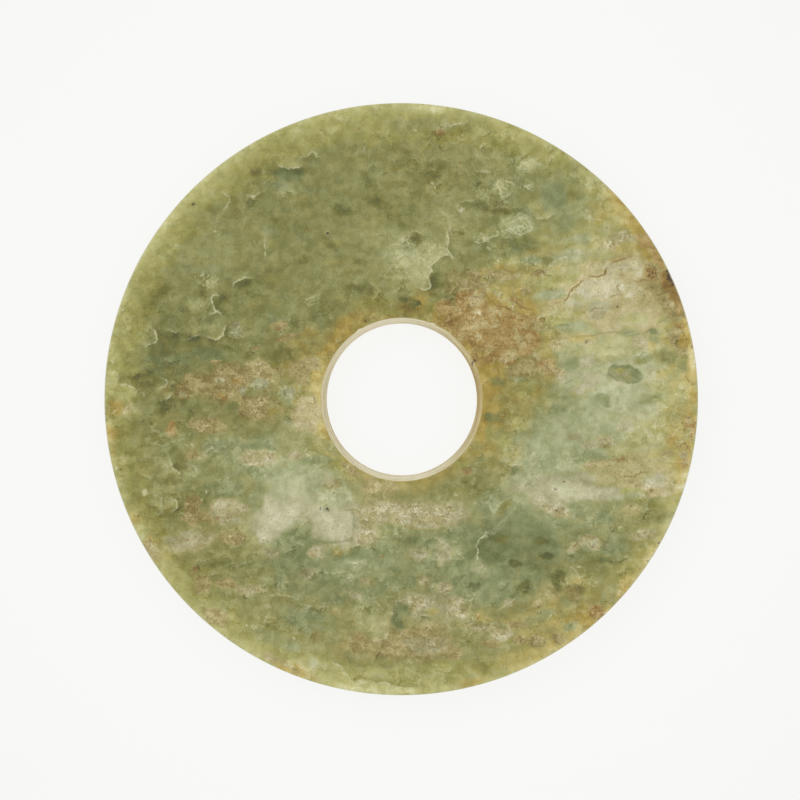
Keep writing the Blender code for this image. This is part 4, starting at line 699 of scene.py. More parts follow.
# Brown lines: strength and points.
BROWN_LINES = (
    (0.8, ((49, 28.6), (50, 30.6), (51, 32.5), (53, 34), (54.5, 35.6), (56, 36.1))),
    (1, ((56, 36.1), (57.5, 37.3), (59.5, 37.1), (61.3, 37.9), (62, 39), (62.8, 40.4))),
    (0.8, ((62.8, 40.4), (64, 41.5), (66.5, 42.2), (68.6, 42.8))),
    (0.8, ((34, 30.2), (35, 29), (36, 28), (38, 27.2), (40.4, 27))),
    (0.6, ((69, 36.2), (71, 35.7), (73, 36.3), (75.4, 36))),
    (0.8, ((66.4, 34.8), (65.4, 34.4), (65.4, 32.8), (65.8, 31.8))),
    (0.8, ((62, 30.6), (63.5, 30.9), (64.5, 31.5), (65.4, 32.2))),
    (0.6, ((76, 31.2), (78, 31.6), (80, 32.6), (82, 32.5), (84.6, 31.2))),
    (0.6, ((84.6, 31.4), (84, 29.4), (83.2, 27.4), (82.4, 26.4))),
    (0.4, ((82.4, 26.4), (81, 25.2), (79, 23.8), (76.4, 21.6))),
    (0.5, ((86.2, 24), (85, 22.5), (83, 21))), (0.7, ((87, 5.4), (88.5, 4.4), (89.4, 5.4))),
    (0.5, ((84, -15.4), (85.6, -17), (87.2, -17.4))),
    (0.6, ((65, -23.8), (68, -23), (70, -23.6), (72, -22.4), (75.4, -22))),
    (0.5, ((67.6, -25), (71.4, -25.8))), (0.6, ((46.9, 7), (47.8, 8.4), (49, 9.6))),
    (0.5, ((41, 11.6), (43, 10.4), (45, 8.2), (47, 6.8))),
    (0.5, ((74, 45.8), (76.4, 46.2), (78.4, 44.6))), (0.5, ((-42, 37.6), (-44.6, 36.4))),
    (0.5, ((-51, -41.2), (-48.6, -41.8), (-46.4, -41))),
    (0.5, ((45.6, 29.6), (46.9, 29), (48.6, 29.4))),
    (0.5, ((51, -46), (53.4, -43.4), (55, -41.4), (57.6, -41.6), (60.6, -42.4), (61.6, -44.6),
        (61, -46.6))), (0.6, ((25, 33.6), (25.6, 31), (28, 29), (31.6, 27.6), (35, 26.4))),
    (0.5, ((17, 33.4), (20, 34.4), (22, 32.4), (21, 29.4))), (0.5, ((86, 8), (87, 5.6), (89, 5))),
    (0.5, ((85, -5), (87, -5.6), (88.6, -4.6))),
    (0.5, ((80, -13), (81, -11.4), (82.6, -12.6), (83.6, -14.6), (85.6, -13), (87, -15), (88, -17.4))),
    (0.4, ((82, -19.4), (84.4, -19.6), (86.6, -18.6))),
    (0.4, ((56, -19.4), (60, -18.4), (64, -18.6), (68, -17.6))),
    (0.4, ((41, 17.6), (46, 18.2), (52, 18.8), (58, 19.2), (62, 20.2), (66, 20), (72, 20.6))),
    (0.6, ((56.6, 26), (58.4, 27.4), (60.6, 27.6), (62.4, 27.4), (64.6, 28))),
    (0.4, ((44, 44.4), (48, 43.4), (52.4, 44))), (0.4, ((26, 20), (30, 19), (34, 20.4))),
    (0.4, ((16, 30), (20, 31.4), (24, 30.6), (28, 31.6))), (0.4, ((30, 39.4), (34, 38.6), (38, 39.4))),
    (0.4, ((24, 10.6), (28, 12), (32, 11.4))),
    (0.6, ((-68.4, 1.8), (-67.6, 3.2), (-65.8, 3.2), (-64.4, 1.6), (-65, -0.2), (-66.8, -0.2),
        (-68.4, 1.8))),
    (0.5, ((-57.4, 5), (-56.6, 6.8), (-54.8, 7.2), (-53, 6.4), (-52.8, 4.6), (-54.4, 3.4),
        (-56.6, 3.6))), (0.5, ((-56, 1.8), (-54.4, 0.8), (-52.6, 1.2), (-51.6, 2.4))),
)

# Dark lines: strength and points. The rings are drawn as dark lines too: strength, x, y, half
# length, half width and turn.
DARK_LINES = (
    (0.6, ((46.5, 22), (49, 22.6), (51.8, 22.4))), (0.5, ((37.2, 46.6), (38.6, 45.4), (39.8, 44.2))),
    (0.5, ((72.6, 19.6), (75, 21), (76.6, 21), (77.8, 19.8))),
    (0.4, ((66.6, 19.6), (70, 19.2), (73, 20))), (0.5, ((-26, -21.4), (-22, -19.8), (-18, -20.2))),
    (0.5, ((-26, -42.8), (-20, -43.4), (-15, -42.6), (-14, -38), (-15, -33))),
    (0.5, ((46, -53), (46.8, -51.8), (48.4, -51.6))), (0.4, ((83, -29.4), (86, -28.4), (88.6, -27))),
)
RINGED = (
    (0.6, 67.8, 7.6, 5.3, 2.4, -12), (0.25, 61.3, -0.3, 2.4, 1.4, -35), (0.6, 47.8, -55, 2, 3.5, 12),
    (0.3, 37.2, -57.6, 2.6, 1.6, 45), (0.4, -58, -8, 5.4, 2.5, -4), (0.4, -22.3, -33.2, 1.2, 1, 0),
)

# Dots: x, y and radius.
DARK_DOTS = (
    (-62.9, 59, 0.45), (-22.4, 50.2, 0.25), (-22.3, -33.2, 0.55), (-24.4, -33.1, 0.25),
    (88.1, 15.8, 0.5), (50.4, 67.8, 0.3), (51.3, 67.2, 0.3), (-89.6, -4.2, 0.35), (-71.2, -54.7, 0.35),
    (78, -43.5, 0.3), (74.7, -49, 0.2), (49.3, -25, 0.25), (46.6, -27.1, 0.25), (69.5, -32.6, 0.3),
    (23.4, -44.9, 0.4), (22.1, 11.6, 0.5), (75.8, 38.2, 0.5), (77, 37.6, 0.35), (76, 36.8, 0.3),
    (77.4, 36.4, 0.25), (74.8, 37.2, 0.3), (76.6, 39.6, 0.3), (48.7, -33.1, 0.3), (46.8, -33.6, 0.2),
    (43, -32.4, 0.2), (81, 28.6, 0.35), (65.2, 27.8, 0.4), (-75.9, -42.8, 0.3), (56, 17.3, 0.4),
    (-10.9, 23.5, 0.4), (-79.6, -35.4, 0.3), (79.4, 30, 0.3), (62.2, 52, 0.25), (-84.4, 26.2, 0.3),
)
BLACK_DOTS = (
    (81.2, 37.6, 1), (81.9, 36.2, 1), (80.4, 38.8, 0.4), (82.3, 34.9, 0.5), (80.6, 36.4, 0.4),
    (-22.5, -33.3, 0.45), (-24.5, -33.2, 0.2), (22.1, 11.6, 0.35), (-62.9, 59, 0.35),
    (-22.4, 50.2, 0.25),
)
RUST_DOTS = (
    (-83, 24, 0.4), (-12.8, 81.8, 0.5), (55.4, 26.2, 0.25), (-55.5, -36, 0.6), (-5.5, -47.5, 0.5),
    (19.8, -22.3, 0.6), (18.6, -21.4, 0.4), (75.8, -27.6, 0.6), (-50, -42.5, 0.6), (-69.3, -8, 0.5),
    (-37, 21.4, 0.5), (-44.4, 15.8, 0.4), (8.6, 66.6, 0.25), (17.8, 71.6, 0.25), (11.6, 81, 0.4),
    (-10.7, 23.4, 0.4), (-8.4, 24.6, 0.3), (-62, -51.2, 0.5), (67, -18.2, 0.5), (41.2, 37.6, 0.4),
    (29.4, 5.8, 0.4), (-32, 9.6, 0.4), (-64.6, -42.6, 0.4), (45.4, 33.2, 0.3), (72.6, 36.2, 0.4),
    (49, 74.5, 0.3), (53.2, 69.2, 0.3), (-56.4, 9.8, 0.4), (60.6, -65.2, 0.6), (46.6, -73.4, 0.5),
    (13.6, 37.6, 0.4), (16, 38.6, 0.4),
)
PALE_DOTS = (
    (-77.6, -28.2, 1.2), (-59, -28.3, 0.35), (16.5, -28.8, 0.4), (-46.8, -68.5, 0.5),
    (-32.5, -72.3, 0.35), (4.2, 81.3, 0.5), (13, 82.6, 0.5), (-56.4, 50.8, 0.3), (72.2, 33.6, 0.9),
    (-60, -30.4, 0.3), (9.4, 65.4, 0.35), (10.2, 64, 0.3), (53.6, -50.8, 0.4), (-44.8, 60.8, 0.5),
    (31, 30, 0.5), (33.8, 27.8, 0.5), (30, 25.8, 0.5),
)

# Where fine pale lace lies: x, y, half length, half width, strength and, if not level, turn.
LACE = (
    (35, 52.8, 5, 3.4, 1, 20), (24.5, 48.6, 3.8, 1.8, 0.8, 10), (30.4, 63.5, 2.6, 4.4, 0.8, 25),
    (0, 44, 5.2, 5.4, 0.8), (8, 45, 5, 6, 0.55), (6, 36.5, 3, 3.4, 0.5), (38.6, 70.8, 4, 2.2, 0.9),
    (55.6, -43.4, 4.6, 2.4, 0.7), (37.6, 64.6, 3, 1.6, 0.7), (-58.6, 35.4, 3.6, 2.4, 1, -20),
    (57, 65, 1.6, 3, 0.7), (-60, 28.6, 3.4, 2.4, 0.5, 10), (-45, 60.6, 3, 2, 0.4),
    (-35, 62.6, 3.4, 1.4, 0.5), (-50, 21.5, 3, 3.4, 0.4), (-56, 21, 3, 3, 0.35),
    (-27.5, 29.8, 3.6, 1.8, 0.5, 10), (-41, 47, 2, 4, 0.35), (-64, -21, 4, 3, 0.4),
    (-84, 3, 4, 3.4, 0.3), (26, 64, 6, 5, 0.35), (20, 58, 6, 4, 0.3), (28, 69, 7, 2, 0.3),
    (13, 82.4, 4, 1.6, 0.5, 10), (56, 57, 4, 2, 0.4), (42, 30.4, 6, 1.6, 0.3, 5), (-8, 82, 3, 3, 0.2),
    (53, -54, 4, 4, 0.3), (32, -61, 3, 3, 0.4), (-14, -52, 9, 2, 0.3), (-38, -14, 10, 2, 0.25),
    (-80, -20, 4, 3, 0.3), (-50, -60, 10, 3, 0.2), (-34.6, 2, 3, 2.6, 0.9), (-43.6, 4.6, 3.4, 2, 0.7),
    (-50, 21.4, 2, 3, 0.7), (-65, -13.4, 3, 1.6, 0.6),
)

# Where fine brown grains lie: x, y, half length, half width, strength and, if not level, turn.
PEPPER = (
    (76, 38, 2, 2.2, 1.6), (65.4, 28, 1.4, 1, 1), (56, 17.4, 1.2, 1, 1), (47.6, -33.4, 2.6, 1.2, 0.6),
    (66.4, 37.8, 2.4, 1.2, 0.7), (42, 38.6, 2.6, 1.4, 0.9), (45, 9.4, 3.6, 2.4, 0.9, -20),
    (38, 33, 2.4, 1.6, 0.6), (18, 38, 4, 1.4, 0.6), (18, 30, 5, 4, 0.7), (30, 14, 7, 4, 0.5),
    (-29.5, 9, 4, 3, 0.9), (-52, 6, 17, 5, 0.6), (-37, 20.5, 4, 2, 0.8, 20), (-62.4, -34, 3, 4, 0.6),
    (-56.4, -35.6, 2, 1.6, 0.6), (-50, -42, 4, 1.8, 0.9), (60, -64, 2.6, 2.6, 0.8),
    (67, -18, 4, 1.2, 0.7), (60, -13, 4, 2, 0.25), (85, -13, 2, 3, 0.7), (48, -72, 3, 2, 0.6),
    (84, 18, 2.4, 4, 0.8), (6, -73.6, 12, 3.6, 0.4), (8, -35, 12, 2.6, 0.5), (-21, -38, 5, 3, 0.4),
    (-28.6, -4.6, 4, 5, 0.4), (-43.5, -2, 4, 2.4, 0.7), (-58, -8, 5, 2.2, 0.6), (73, 33, 3, 3, 0.4),
    (79, 29, 3, 2, 0.5), (74, -26, 4, 1.6, 0.6), (54, -57, 4, 3, 0.4), (-57, -55, 5, 3, 0.5),
    (12, -61, 10, 3, 0.4), (-15, -56, 5, 3, 0.4), (-16, -21, 3, 1.4, 0.7, -40), (24, -68, 8, 2, 0.5),
    (42, -66, 6, 3, 0.5, 20), (84, -10, 3, 8, 0.5), (68, -21, 10, 3.4, 0.5, 6), (62, -13, 3, 1.6, 0.6),
    (66, 38, 2, 1.2, 1),
)

# Calm stone, with fewer flakes in it: x, y, half length, half width, share and, if not level, turn.
CALM = (
    (-40, 52, 42, 26, 0.68, 20), (-68, 14, 14, 7, 0.3), (35, -43, 14, 11, 0.85),
    (-72, -53, 16, 6, 0.7, -45), (6, -27, 14, 3, 0.7, -5), (46, 57, 13, 11, 0.65),
    (-22, -78, 16, 5, 0.5, -15), (-35, -30, 11, 8, 0.8, 40), (82, -34, 6, 8, 0.7), (28, -2, 5, 9, 0.6),
    (64, 34, 20, 9, 0.75, 12), (66, 23, 18, 8, 0.9, 10), (62, 2, 18, 12, 0.6), (54, -26, 18, 5, 0.75),
    (72, -20, 12, 6, 0.7), (30, -84, 20, 5, 0.7, 18), (0, 85, 26, 5, 0.5), (-30, 12, 8, 8, 0.3),
    (-28, -5, 5, 6, 0.6), (-21, -36, 7, 5, 0.6), (48, -12, 12, 7, 0.6), (-46, -76, 16, 5, 0.6, -35),
    (76, 48, 10, 5, 0.6, -50), (-54, -33, 7, 4.4, 0.5), (-64, -43, 9, 3.6, 0.5, 8),
    (-20.6, -38.6, 6, 5, 0.6), (4, -73.6, 12, 4, 0.35),
)

# ---------------------------------------------------------------- the turned stone


def smooth_step(low, high, value):
    """0 below low, 1 above high and a smooth rise between; low may be the greater of the two."""
    share = np.clip((value - low) / (high - low), 0.0, 1.0)
    return share * share * (3 - 2 * share)


def noise_over(places, size, octaves, seed):
    """Fractal noise, which changes over size millimetres, at each place."""
    shift = Vector((seed * 17.3, seed * -9.1, seed * 5.7))
    return np.array(
        [noise.fractal(Vector(p) / size + shift, 0.9, 2.1, octaves) for p in places]
    )


def upper_height(radius):
    return THICKNESS - CROWN_DROP * (radius / RADIUS) ** CROWN_POWER


def arc(centre_r, centre_z, start, end):
    """Points along an arris of the section, between two angles above the horizontal."""
    turns = (math.radians(start + (end - start) * i / ARRIS_STEPS) for i in range(ARRIS_STEPS + 1))
    return [(centre_r + ARRIS * math.cos(a), centre_z + ARRIS * math.sin(a)) for a in turns]


def run(start, end, steps):
    """Even steps from start towards end, without end itself."""
    (r0, z0), (r1, z1) = start, end
    return [(r0 + (r1 - r0) * i / steps, z0 + (z1 - z0) * i / steps) for i in range(steps)]


def rim_section(edge, top, foot):
    """The rim from the upper arris down its bellied wall to the lower arris."""
    wall = []
    for i in range(1, WALL_RINGS):
        share = i / WALL_RINGS
        belly = RIM_BELLY * math.sin(math.pi * share)
        wall.append((edge + ARRIS + belly, top + (foot - top) * share))
    return arc(edge, top, 90, 0) + wall + arc(edge, foot, 0, -90)


def bore_section(mouth, brink):
    """The bore from the lower mouth up to the upper one, with a step where the drills met."""
    third = MOUTH_CHAMFER / 3
    below = (LOWER_WAIST_RADIUS, WAIST_HEIGHT - 2 * HAIR)
    ledge = (UPPER_WAIST_RADIUS + WAIST_BEVEL, WAIST_HEIGHT)
    above = (UPPER_WAIST_RADIUS, WAIST_HEIGHT + WAIST_BEVEL)
    upper_mouth = (MOUTH_RADIUS, brink - MOUTH_CHAMFER)
    return [
        (mouth, 0.0),
        (MOUTH_RADIUS + third, third),
        *run((MOUTH_RADIUS, MOUTH_CHAMFER), below, LOWER_BORE_RINGS),
        below,
        ledge,
        *run(above, upper_mouth, UPPER_BORE_RINGS),
        *run(upper_mouth, (mouth, brink), CHAMFER_STEPS),
    ]


def section():
    """The ring's closed section, as radius and height, from the upper mouth outwards and round."""
    mouth = MOUTH_RADIUS + MOUTH_CHAMFER
    edge = RADIUS - RIM_BELLY - ARRIS
    radii = [r for r, _ in run((mouth, 0), (FINE_RADIUS, 0), INNER_RINGS)]
    radii += [r for r, _ in run((FINE_RADIUS, 0), (edge, 0), OUTER_RINGS)]
    face = [(r, upper_height(r)) for r in radii]
    rim = rim_section(edge, upper_height(edge) - ARRIS, UNDERSIDE_LIFT + ARRIS)
    underside = run((UNDERSIDE_FLAT_RADIUS, 0.0), (mouth, 0.0), UNDERSIDE_RINGS)
    return face + rim + underside + bore_section(mouth, upper_height(mouth))


def turned_stone():
    """The even ring in millimetres, with twice as many facets round the outer part of its face."""
    ring = bmesh.new()
    points = [ring.verts.new((r, 0, z)) for r, z in section()]
    edges = [ring.edges.new(pair) for pair in zip(points, points[1:] + points[:1])]
    bmesh.ops.spin(
        ring, geom=points + edges, cent=(0, 0, 0), axis=(0, 0, 1), angle=math.tau,
        steps=SPIN_STEPS, use_merge=True, use_duplicate=False,
    )
    bmesh.ops.remove_doubles(ring, verts=ring.verts, dist=HAIR)
    old = set(ring.verts)
    round_edges = [e for e in ring.edges if runs_round(e) and is_fine(e.verts[0].co)]
    bmesh.ops.subdivide_edges(ring, edges=round_edges, cuts=1, use_grid_fill=True)
    bulge = 1 / math.cos(math.pi / SPIN_STEPS)
    added = [v for v in ring.verts if v not in old]
    bmesh.ops.scale(ring, vec=(bulge, bulge, 1), verts=added)
    bmesh.ops.recalc_face_normals(ring, faces=ring.faces)
    for face in ring.faces:
        face.smooth = True
    mesh = bpy.data.meshes.new("jade_disc")
    ring.to_mesh(mesh)
    ring.free()
    return mesh


def runs_round(edge):
    """True of an edge whose two ends are at the same height and the same radius."""
    a, b = (v.co for v in edge.verts)
    return abs(a.z - b.z) < HAIR / 10 and abs(math.hypot(a.x, a.y) - math.hypot(b.x, b.y)) < HAIR


def is_fine(place):
    """The outer part of the face, its arris and the upper half of the rim's wall."""
    return math.hypot(place.x, place.y) > FINE_RADIUS - 10 * HAIR and place.z > 2 * ARRIS


def bitten(places, middle, turn, sizes, inward):
    """Moves the places inside an ellipsoid down and into the stone, on to its far side."""
    cosine, sine = math.cos(turn), math.sin(turn)
    away = places - middle
    q = np.stack((
        away[:, 0] * cosine + away[:, 1] * sine,
        away[:, 1] * cosine - away[:, 0] * sine,
        away[:, 2],
    ), axis=1) / sizes
    way = np.array((inward, 0.0, -1.0)) / math.sqrt(2)
    step = way / sizes
    a, b, c = step @ step, q @ step, np.sum(q * q, axis=1)
    inside = c < 1
    reach = np.where(inside, (-b + np.sqrt(np.maximum(b * b + a * (1 - c), 0))) / a, 0.0)
    moved = np.array((way[0] * cosine, way[0] * sine, way[2]))
    return places + reach[:, None] * moved


def with_chips(places, chips, centre, edge, inward):
    """The places with small chips in the round arris of this radius."""
    for angle, length, reach, depth in chips:
        turn = math.radians(angle)
        along = edge - inward * reach
        x = centre[0] + along * math.cos(turn)
        y = centre[1] + along * math.sin(turn)
        level = upper_height(edge) * (1 + thicker_share(x, y))
        middle = np.array((x, y, level))
        places = bitten(places, middle, turn, np.array((2 * reach, length, depth)), inward)
    return places


def thicker_share(x, y):
    """How much thicker the slab is over this point than midway, as a share of its height."""
    across = (x * math.cos(WEDGE_TURN) + y * math.sin(WEDGE_TURN)) / RADIUS
    return WEDGE * across / THICKNESS


def made_uneven(places):
    """The oval outline, the thicker side, and the bore's two axes off the disc's own."""
    x, y, z = places.T
    radius = np.hypot(x, y)
    stretch = 1 + OVALITY * (x * x - y * y) / (radius**2 * RADIUS)
    near_bore = smooth_step(BORE_FREE_RADIUS, BORE_OWN_RADIUS, radius)
    lower = near_bore * (z < WAIST_HEIGHT - HAIR)
    moved = [
        along * stretch * (1 + wider * near_bore / radius) + centre * near_bore + shift * lower
        for along, wider, centre, shift in zip((x, y), BORE_OVALITY, BORE_CENTRE, LOWER_DRILL_SHIFT)
    ]
    return np.stack((*moved, z * (1 + thicker_share(x, y))), axis=1)


def worn(places, depth, weathered):
    """Polish waves on the faces, pits in the weathered stone and the drill's rings in the bore."""
    x, y, _ = places.T
    radius = np.hypot(x, y)
    on_face = (depth < 10 * HAIR) & (radius < RADIUS - RIM_BELLY - ARRIS - UNWORN)
    rise = np.zeros(len(places))
    rise[on_face] = WAVINESS * (noise_over(places[on_face], WAVE_SIZE, 2, 3) - WAVE_SINK)
    pits = on_face & (weathered > PITTED_FROM)
    hollows = smooth_step(*PIT_NOISE, noise_over(places[pits], PIT_SIZE, 3, 8))
    rise[pits] -= PIT_DEPTH * weathered[pits] * hollows
    places = places + np.outer(rise, (0, 0, 1))
    in_bore = (radius < MOUTH_RADIUS - UNWORN / 2) & (depth > 2 * MOUTH_CHAMFER)
    groove = DRILL_GROOVE * np.sin(places[:, 2] * math.tau / DRILL_PITCH + np.arctan2(y, x))
    spread = 1 + np.where(in_bore, groove / radius, 0.0)
    return places * np.stack((spread, spread, np.ones(len(places))), axis=1)


def kept_in_box(places, low, high):
    """The places scaled, by a few thousandths of a millimetre, to fill the solid's box."""
    own_low, own_high = places.min(axis=0), places.max(axis=0)
    return low + (places - own_low) * (high - low) / (own_high - own_low)


# ---------------------------------------------------------------- painting the fields


def value_and_cover(patch, x, y, warp, edge):
    """A patch's value, and its cover: 1 well inside its ellipse and 0 well outside.

    The noise pushes the ellipse about, and its edge is soft.
    """
    centre_x, centre_y, half_length, half_width, value, *turn = patch
    push = min(1.0, half_width / WARPED_WIDTH)
    away_x = x + warp[0] * push + warp[2] - centre_x
    away_y = y + warp[1] * push + warp[3] - centre_y
    angle = math.radians(turn[0]) if turn else 0.0
    along = (away_x * math.cos(angle) + away_y * math.sin(angle)) / half_length
    across = (away_y * math.cos(angle) - away_x * math.sin(angle)) / half_width
    return value, smooth_step(1 + EDGES[edge], 1 - EDGES[edge], np.hypot(along, across))


def lay(fields, x, y, warp, patches, edge):
    """Lays patches of stone over what the fields hold."""
    for finish, *alike in patches:
        for patch in alike:
            light, cover = value_and_cover(patch, x, y, warp, edge)
            for hue in HUE_FIELDS:
                fields[hue] += (FINISHES[finish].get(hue, 0.0) - fields[hue]) * cover
            fields["light"] += (light - fields["light"]) * cover


def mottle(fields, x, y, warp):
    """Makes the stone lighter or darker where a mottle lies."""
    for patch in MOTTLES:
        change, cover = value_and_cover(patch, x, y, warp, "soft")
        fields["light"] += change * cover


def strongest(x, y, warp, patches):
    """The strength of the strongest of the patches over each place."""
    most = np.zeros(len(x))
    for patch in patches:
        strength, cover = value_and_cover(patch, x, y, warp, "even")
        most = np.maximum(most, strength * cover)
    return most


def glow_at_edges(fields, x, y, warp):
    """Light that comes through the rim and round the bore turns the stone yellower and paler."""
    radius = np.hypot(x, y)
    uneven = radius + GLOW_RAGGED * warp[0]
    for (light, start, end), out in zip(RIM_GLOWS, (uneven, uneven, radius)):
        fields["light"] += light * smooth_step(start, end, out)
    share, start, end = RIM_LIME
    lime = share * smooth_step(start, end, uneven)
    fields["lime"] += (1 - fields["lime"]) * lime * (1 - fields["amber"])
    halo = smooth_step(*HALO_RADII, uneven)
    fields["light"] += HALO_LIGHT * halo
    fields["amber"] += (1 - fields["amber"]) * HALO_AMBER * halo
    fields["sea"] *= 1 - HALO_SEA_LOSS * halo


def distance_to_line(x, y, points):
    """Signed distance to a line of points, plus on its left, and the distance from its ends.

    The second is taken along the line, from the nearer end.
    """
    best = np.full(len(x), 1e3)
    signed = np.full(len(x), 1e3)
    along = np.zeros(len(x))
    walked = 0.0
    for (ax, ay), (bx, by) in zip(points, points[1:]):
        length = math.hypot(bx - ax, by - ay)
        ux, uy = (bx - ax) / length, (by - ay) / length
        t = np.clip((x - ax) * ux + (y - ay) * uy, 0.0, length)
        distance = np.hypot(x - ax - t * ux, y - ay - t * uy)
        closer = distance < best
        side = np.where(ux * (y - ay) - uy * (x - ax) >= 0, 1.0, -1.0)
        best[closer] = distance[closer]
        signed[closer] = (distance * side)[closer]
        along[closer] = (walked + t)[closer]
        walked += length
    return signed, np.minimum(along, walked - along)


def lines_nearby(x, y, lines):
    """For each line that is near some place: its values, the places, and its distances there."""
    for *values, points in lines:
        low_x, low_y = np.min(points, axis=0) - LINE_REACH
        high_x, high_y = np.max(points, axis=0) + LINE_REACH
        near = (x > low_x) & (x < high_x) & (y > low_y) & (y < high_y)
        if near.any():
            signed, from_end = distance_to_line(x[near], y[near], points)
            yield values, near, signed, from_end / LINE_TAPER


def draw_lines(x, y, lines):
    """The signed distance to the nearest of the lines, and how strong that line is there."""
    signed = np.full(len(x), NO_LINE)
    strength = np.zeros(len(x))
    for (power,), near, distance, taper in lines_nearby(x, y, lines):
        here = power * np.clip(taper, LINE_END, 1.0) * smooth_step(*LINE_HALF_WIDTHS, abs(distance))
        closer = abs(distance) < abs(signed[near])
        signed[near] = np.where(closer, distance, signed[near])
        strength[near] = np.where(closer, here, strength[near])
    return np.clip(signed, -LINE_FAR, LINE_FAR), strength


def shade_ledges(fields, x, y):
    """The stone is paler on one side of a ledge and darker on the other: painted light on the pale side
    and painted shade on the dark side.
    """
    (paler, pale_reach), (darker, dark_reach) = LEDGE_PAINTED_LIGHT, LEDGE_PAINTED_SHADE
    ledges = [ledge for ledge in PALE_LINES if ledge[1] != 0]
    for (power, side), near, distance, taper in lines_nearby(x, y, ledges):
        up = distance * side
        pale = np.where(up > 0, np.exp(-abs(up) / pale_reach), 0.0)
        dark = np.where(up < 0, np.exp(-abs(up) / dark_reach), 0.0)
        change = power * np.clip(taper, 0.0, 1.0) * (paler * pale - darker * dark)
        fields["light"][near] += change


def ring_line(power, centre_x, centre_y, half_length, half_width, turn):
    """A closed line round an ellipse."""
    spin = Matrix.Rotation(math.radians(turn), 2)
    points = []
    for step in range(RING_POINTS + 1):
        angle = math.tau * step / RING_POINTS
        corner = spin @ Vector((half_length * math.cos(angle), half_width * math.sin(angle)))
        points.append((centre_x + corner.x, centre_y + corner.y))
    return power, tuple(points)


def dots(x, y, places):
    """1 in the middle of each dot, falling off evenly to 0 a little outside it."""
    most = np.zeros(len(x))
    for centre_x, centre_y, radius in places:
        most = np.maximum(most, 1 - np.hypot(x - centre_x, y - centre_y) / (radius + DOT_EDGE))
    return most


def paint_bore(fields, x, y, depth, bore):
    """The ground wall of the bore is matt and pale, and stained where the face beside it is, with painted
    light at its top and painted shade down its lower part.
    """
    angle = np.arctan2(y, x)
    right = np.maximum(np.cos(angle - WALL_RIGHT_TURN), 0.0) ** 1.5
    left = np.maximum(-np.cos(angle), 0.0) ** 2
    top = np.maximum(np.sin(angle), 0.0)
    sides = np.stack((top, right, left))
    lower = smooth_step(*WALL_SHADE_DEPTHS, depth)
    light = WALL_LIGHT + WALL_SIDE_LIGHT_AND_STAIN @ sides + (WALL_LOW_SHADE + WALL_LOW_SIDE_SHADE @ sides) * lower
    wall = {
        "amber": 0.9 * right + 0.5 * left,
        "tan": 0.9 - 0.7 * right - 0.2 * left,
        "rust": 0.55 * right + 0.15 * left,
        "cream": 0.5 * (1 - right) * (1 - 0.6 * left),
        "light": light,
    }
    for name in HUE_FIELDS + ("light",):
        fields[name] += (wall.get(name, 0.0) - fields[name]) * bore
    # the pale bare wall, with more of it at the top as painted light
    fields["bare_wall"] = bore * (0.35 + 0.3 * top) * (1 - 0.9 * right) * (1 - 0.3 * left)


def painted_fields(places, depth, bore):
    """Every field of the pattern, for each place in millimetres at its depth below the face."""
    x = places[:, 0] + DEPTH_LEAN[0] * depth
    y = places[:, 1] + DEPTH_LEAN[1] * depth
    flat = np.stack((x, y, depth * DEPTH_STRETCH), axis=1)
    warp = [reach * noise_over(flat, size, 3, seed) for size, reach, seed in WARPS]
    less_warp = [warp[0] * INCLUSION_WARP, warp[1] * INCLUSION_WARP, warp[2], warp[3]]
    line_x, line_y = x + JITTER * warp[2], y + JITTER * warp[3]

    fields = {hue: np.zeros(len(x)) for hue in HUE_FIELDS}
    fields["light"] = np.full(len(x), GROUND_LIGHT)
    lay(fields, x, y, warp, BROAD, "broad")
    glow_at_edges(fields, x, y, warp)
    lay(fields, x, y, warp, CLOUDS, "soft")
    lay(fields, x, y, warp, WEATHERED, "plain")
    mottle(fields, x, y, warp)
    lay(fields, x, y, less_warp, INCLUSIONS, "crisp")
    shade_ledges(fields, line_x, line_y)

    shown = smooth_step(*reversed(UNDERSIDE_DEPTHS), depth)
    pale_lines = [(power, points) for power, _, points in PALE_LINES]
    dark_lines = [*DARK_LINES, *(ring_line(*ring) for ring in RINGED)]
    lines = {"pale_line": pale_lines, "brown_line": BROWN_LINES, "dark_line": dark_lines}
    for name, drawn in lines.items():
        fields[name], strength = draw_lines(line_x, line_y, drawn)
        fields[name + "_strength"] = strength * shown
    out_of_bore = 1 - DOT_BORE_LOSS * bore
    fields["dark_dot"] = dots(x, y, DARK_DOTS) * shown * out_of_bore
    fields["black_dot"] = dots(x, y, BLACK_DOTS) * shown
    fields["rust_dot"] = dots(x, y, RUST_DOTS) * shown * out_of_bore
    fields["pale_dot"] = dots(x, y, PALE_DOTS) * shown
    fields["lace"] = strongest(x, y, warp, LACE) * shown
    fields["pepper"] = strongest(x, y, warp, PEPPER) * shown
    fields["rough"] = (1 - strongest(x, y, warp, CALM)) * (0.5 + 0.5 * shown)
    for name in HUE_FIELDS + ("light",):
        fields[name] += (fields[name].mean() - fields[name]) * PLAINER * (1 - shown)
    paint_bore(fields, x, y, depth, bore)
    fields["light"] = (fields["light"] - GREENS[0]) / (GREENS[-1] - GREENS[0])
    fields["bore"] = bore
    return fields


def store(mesh, fields):
    """Writes the fields into the mesh, where the material finds them by name."""
    for name, values in fields.items():
        attribute = mesh.attributes.new(name, "FLOAT", "POINT")
        attribute.data.foreach_set("value", values.astype(np.float32))


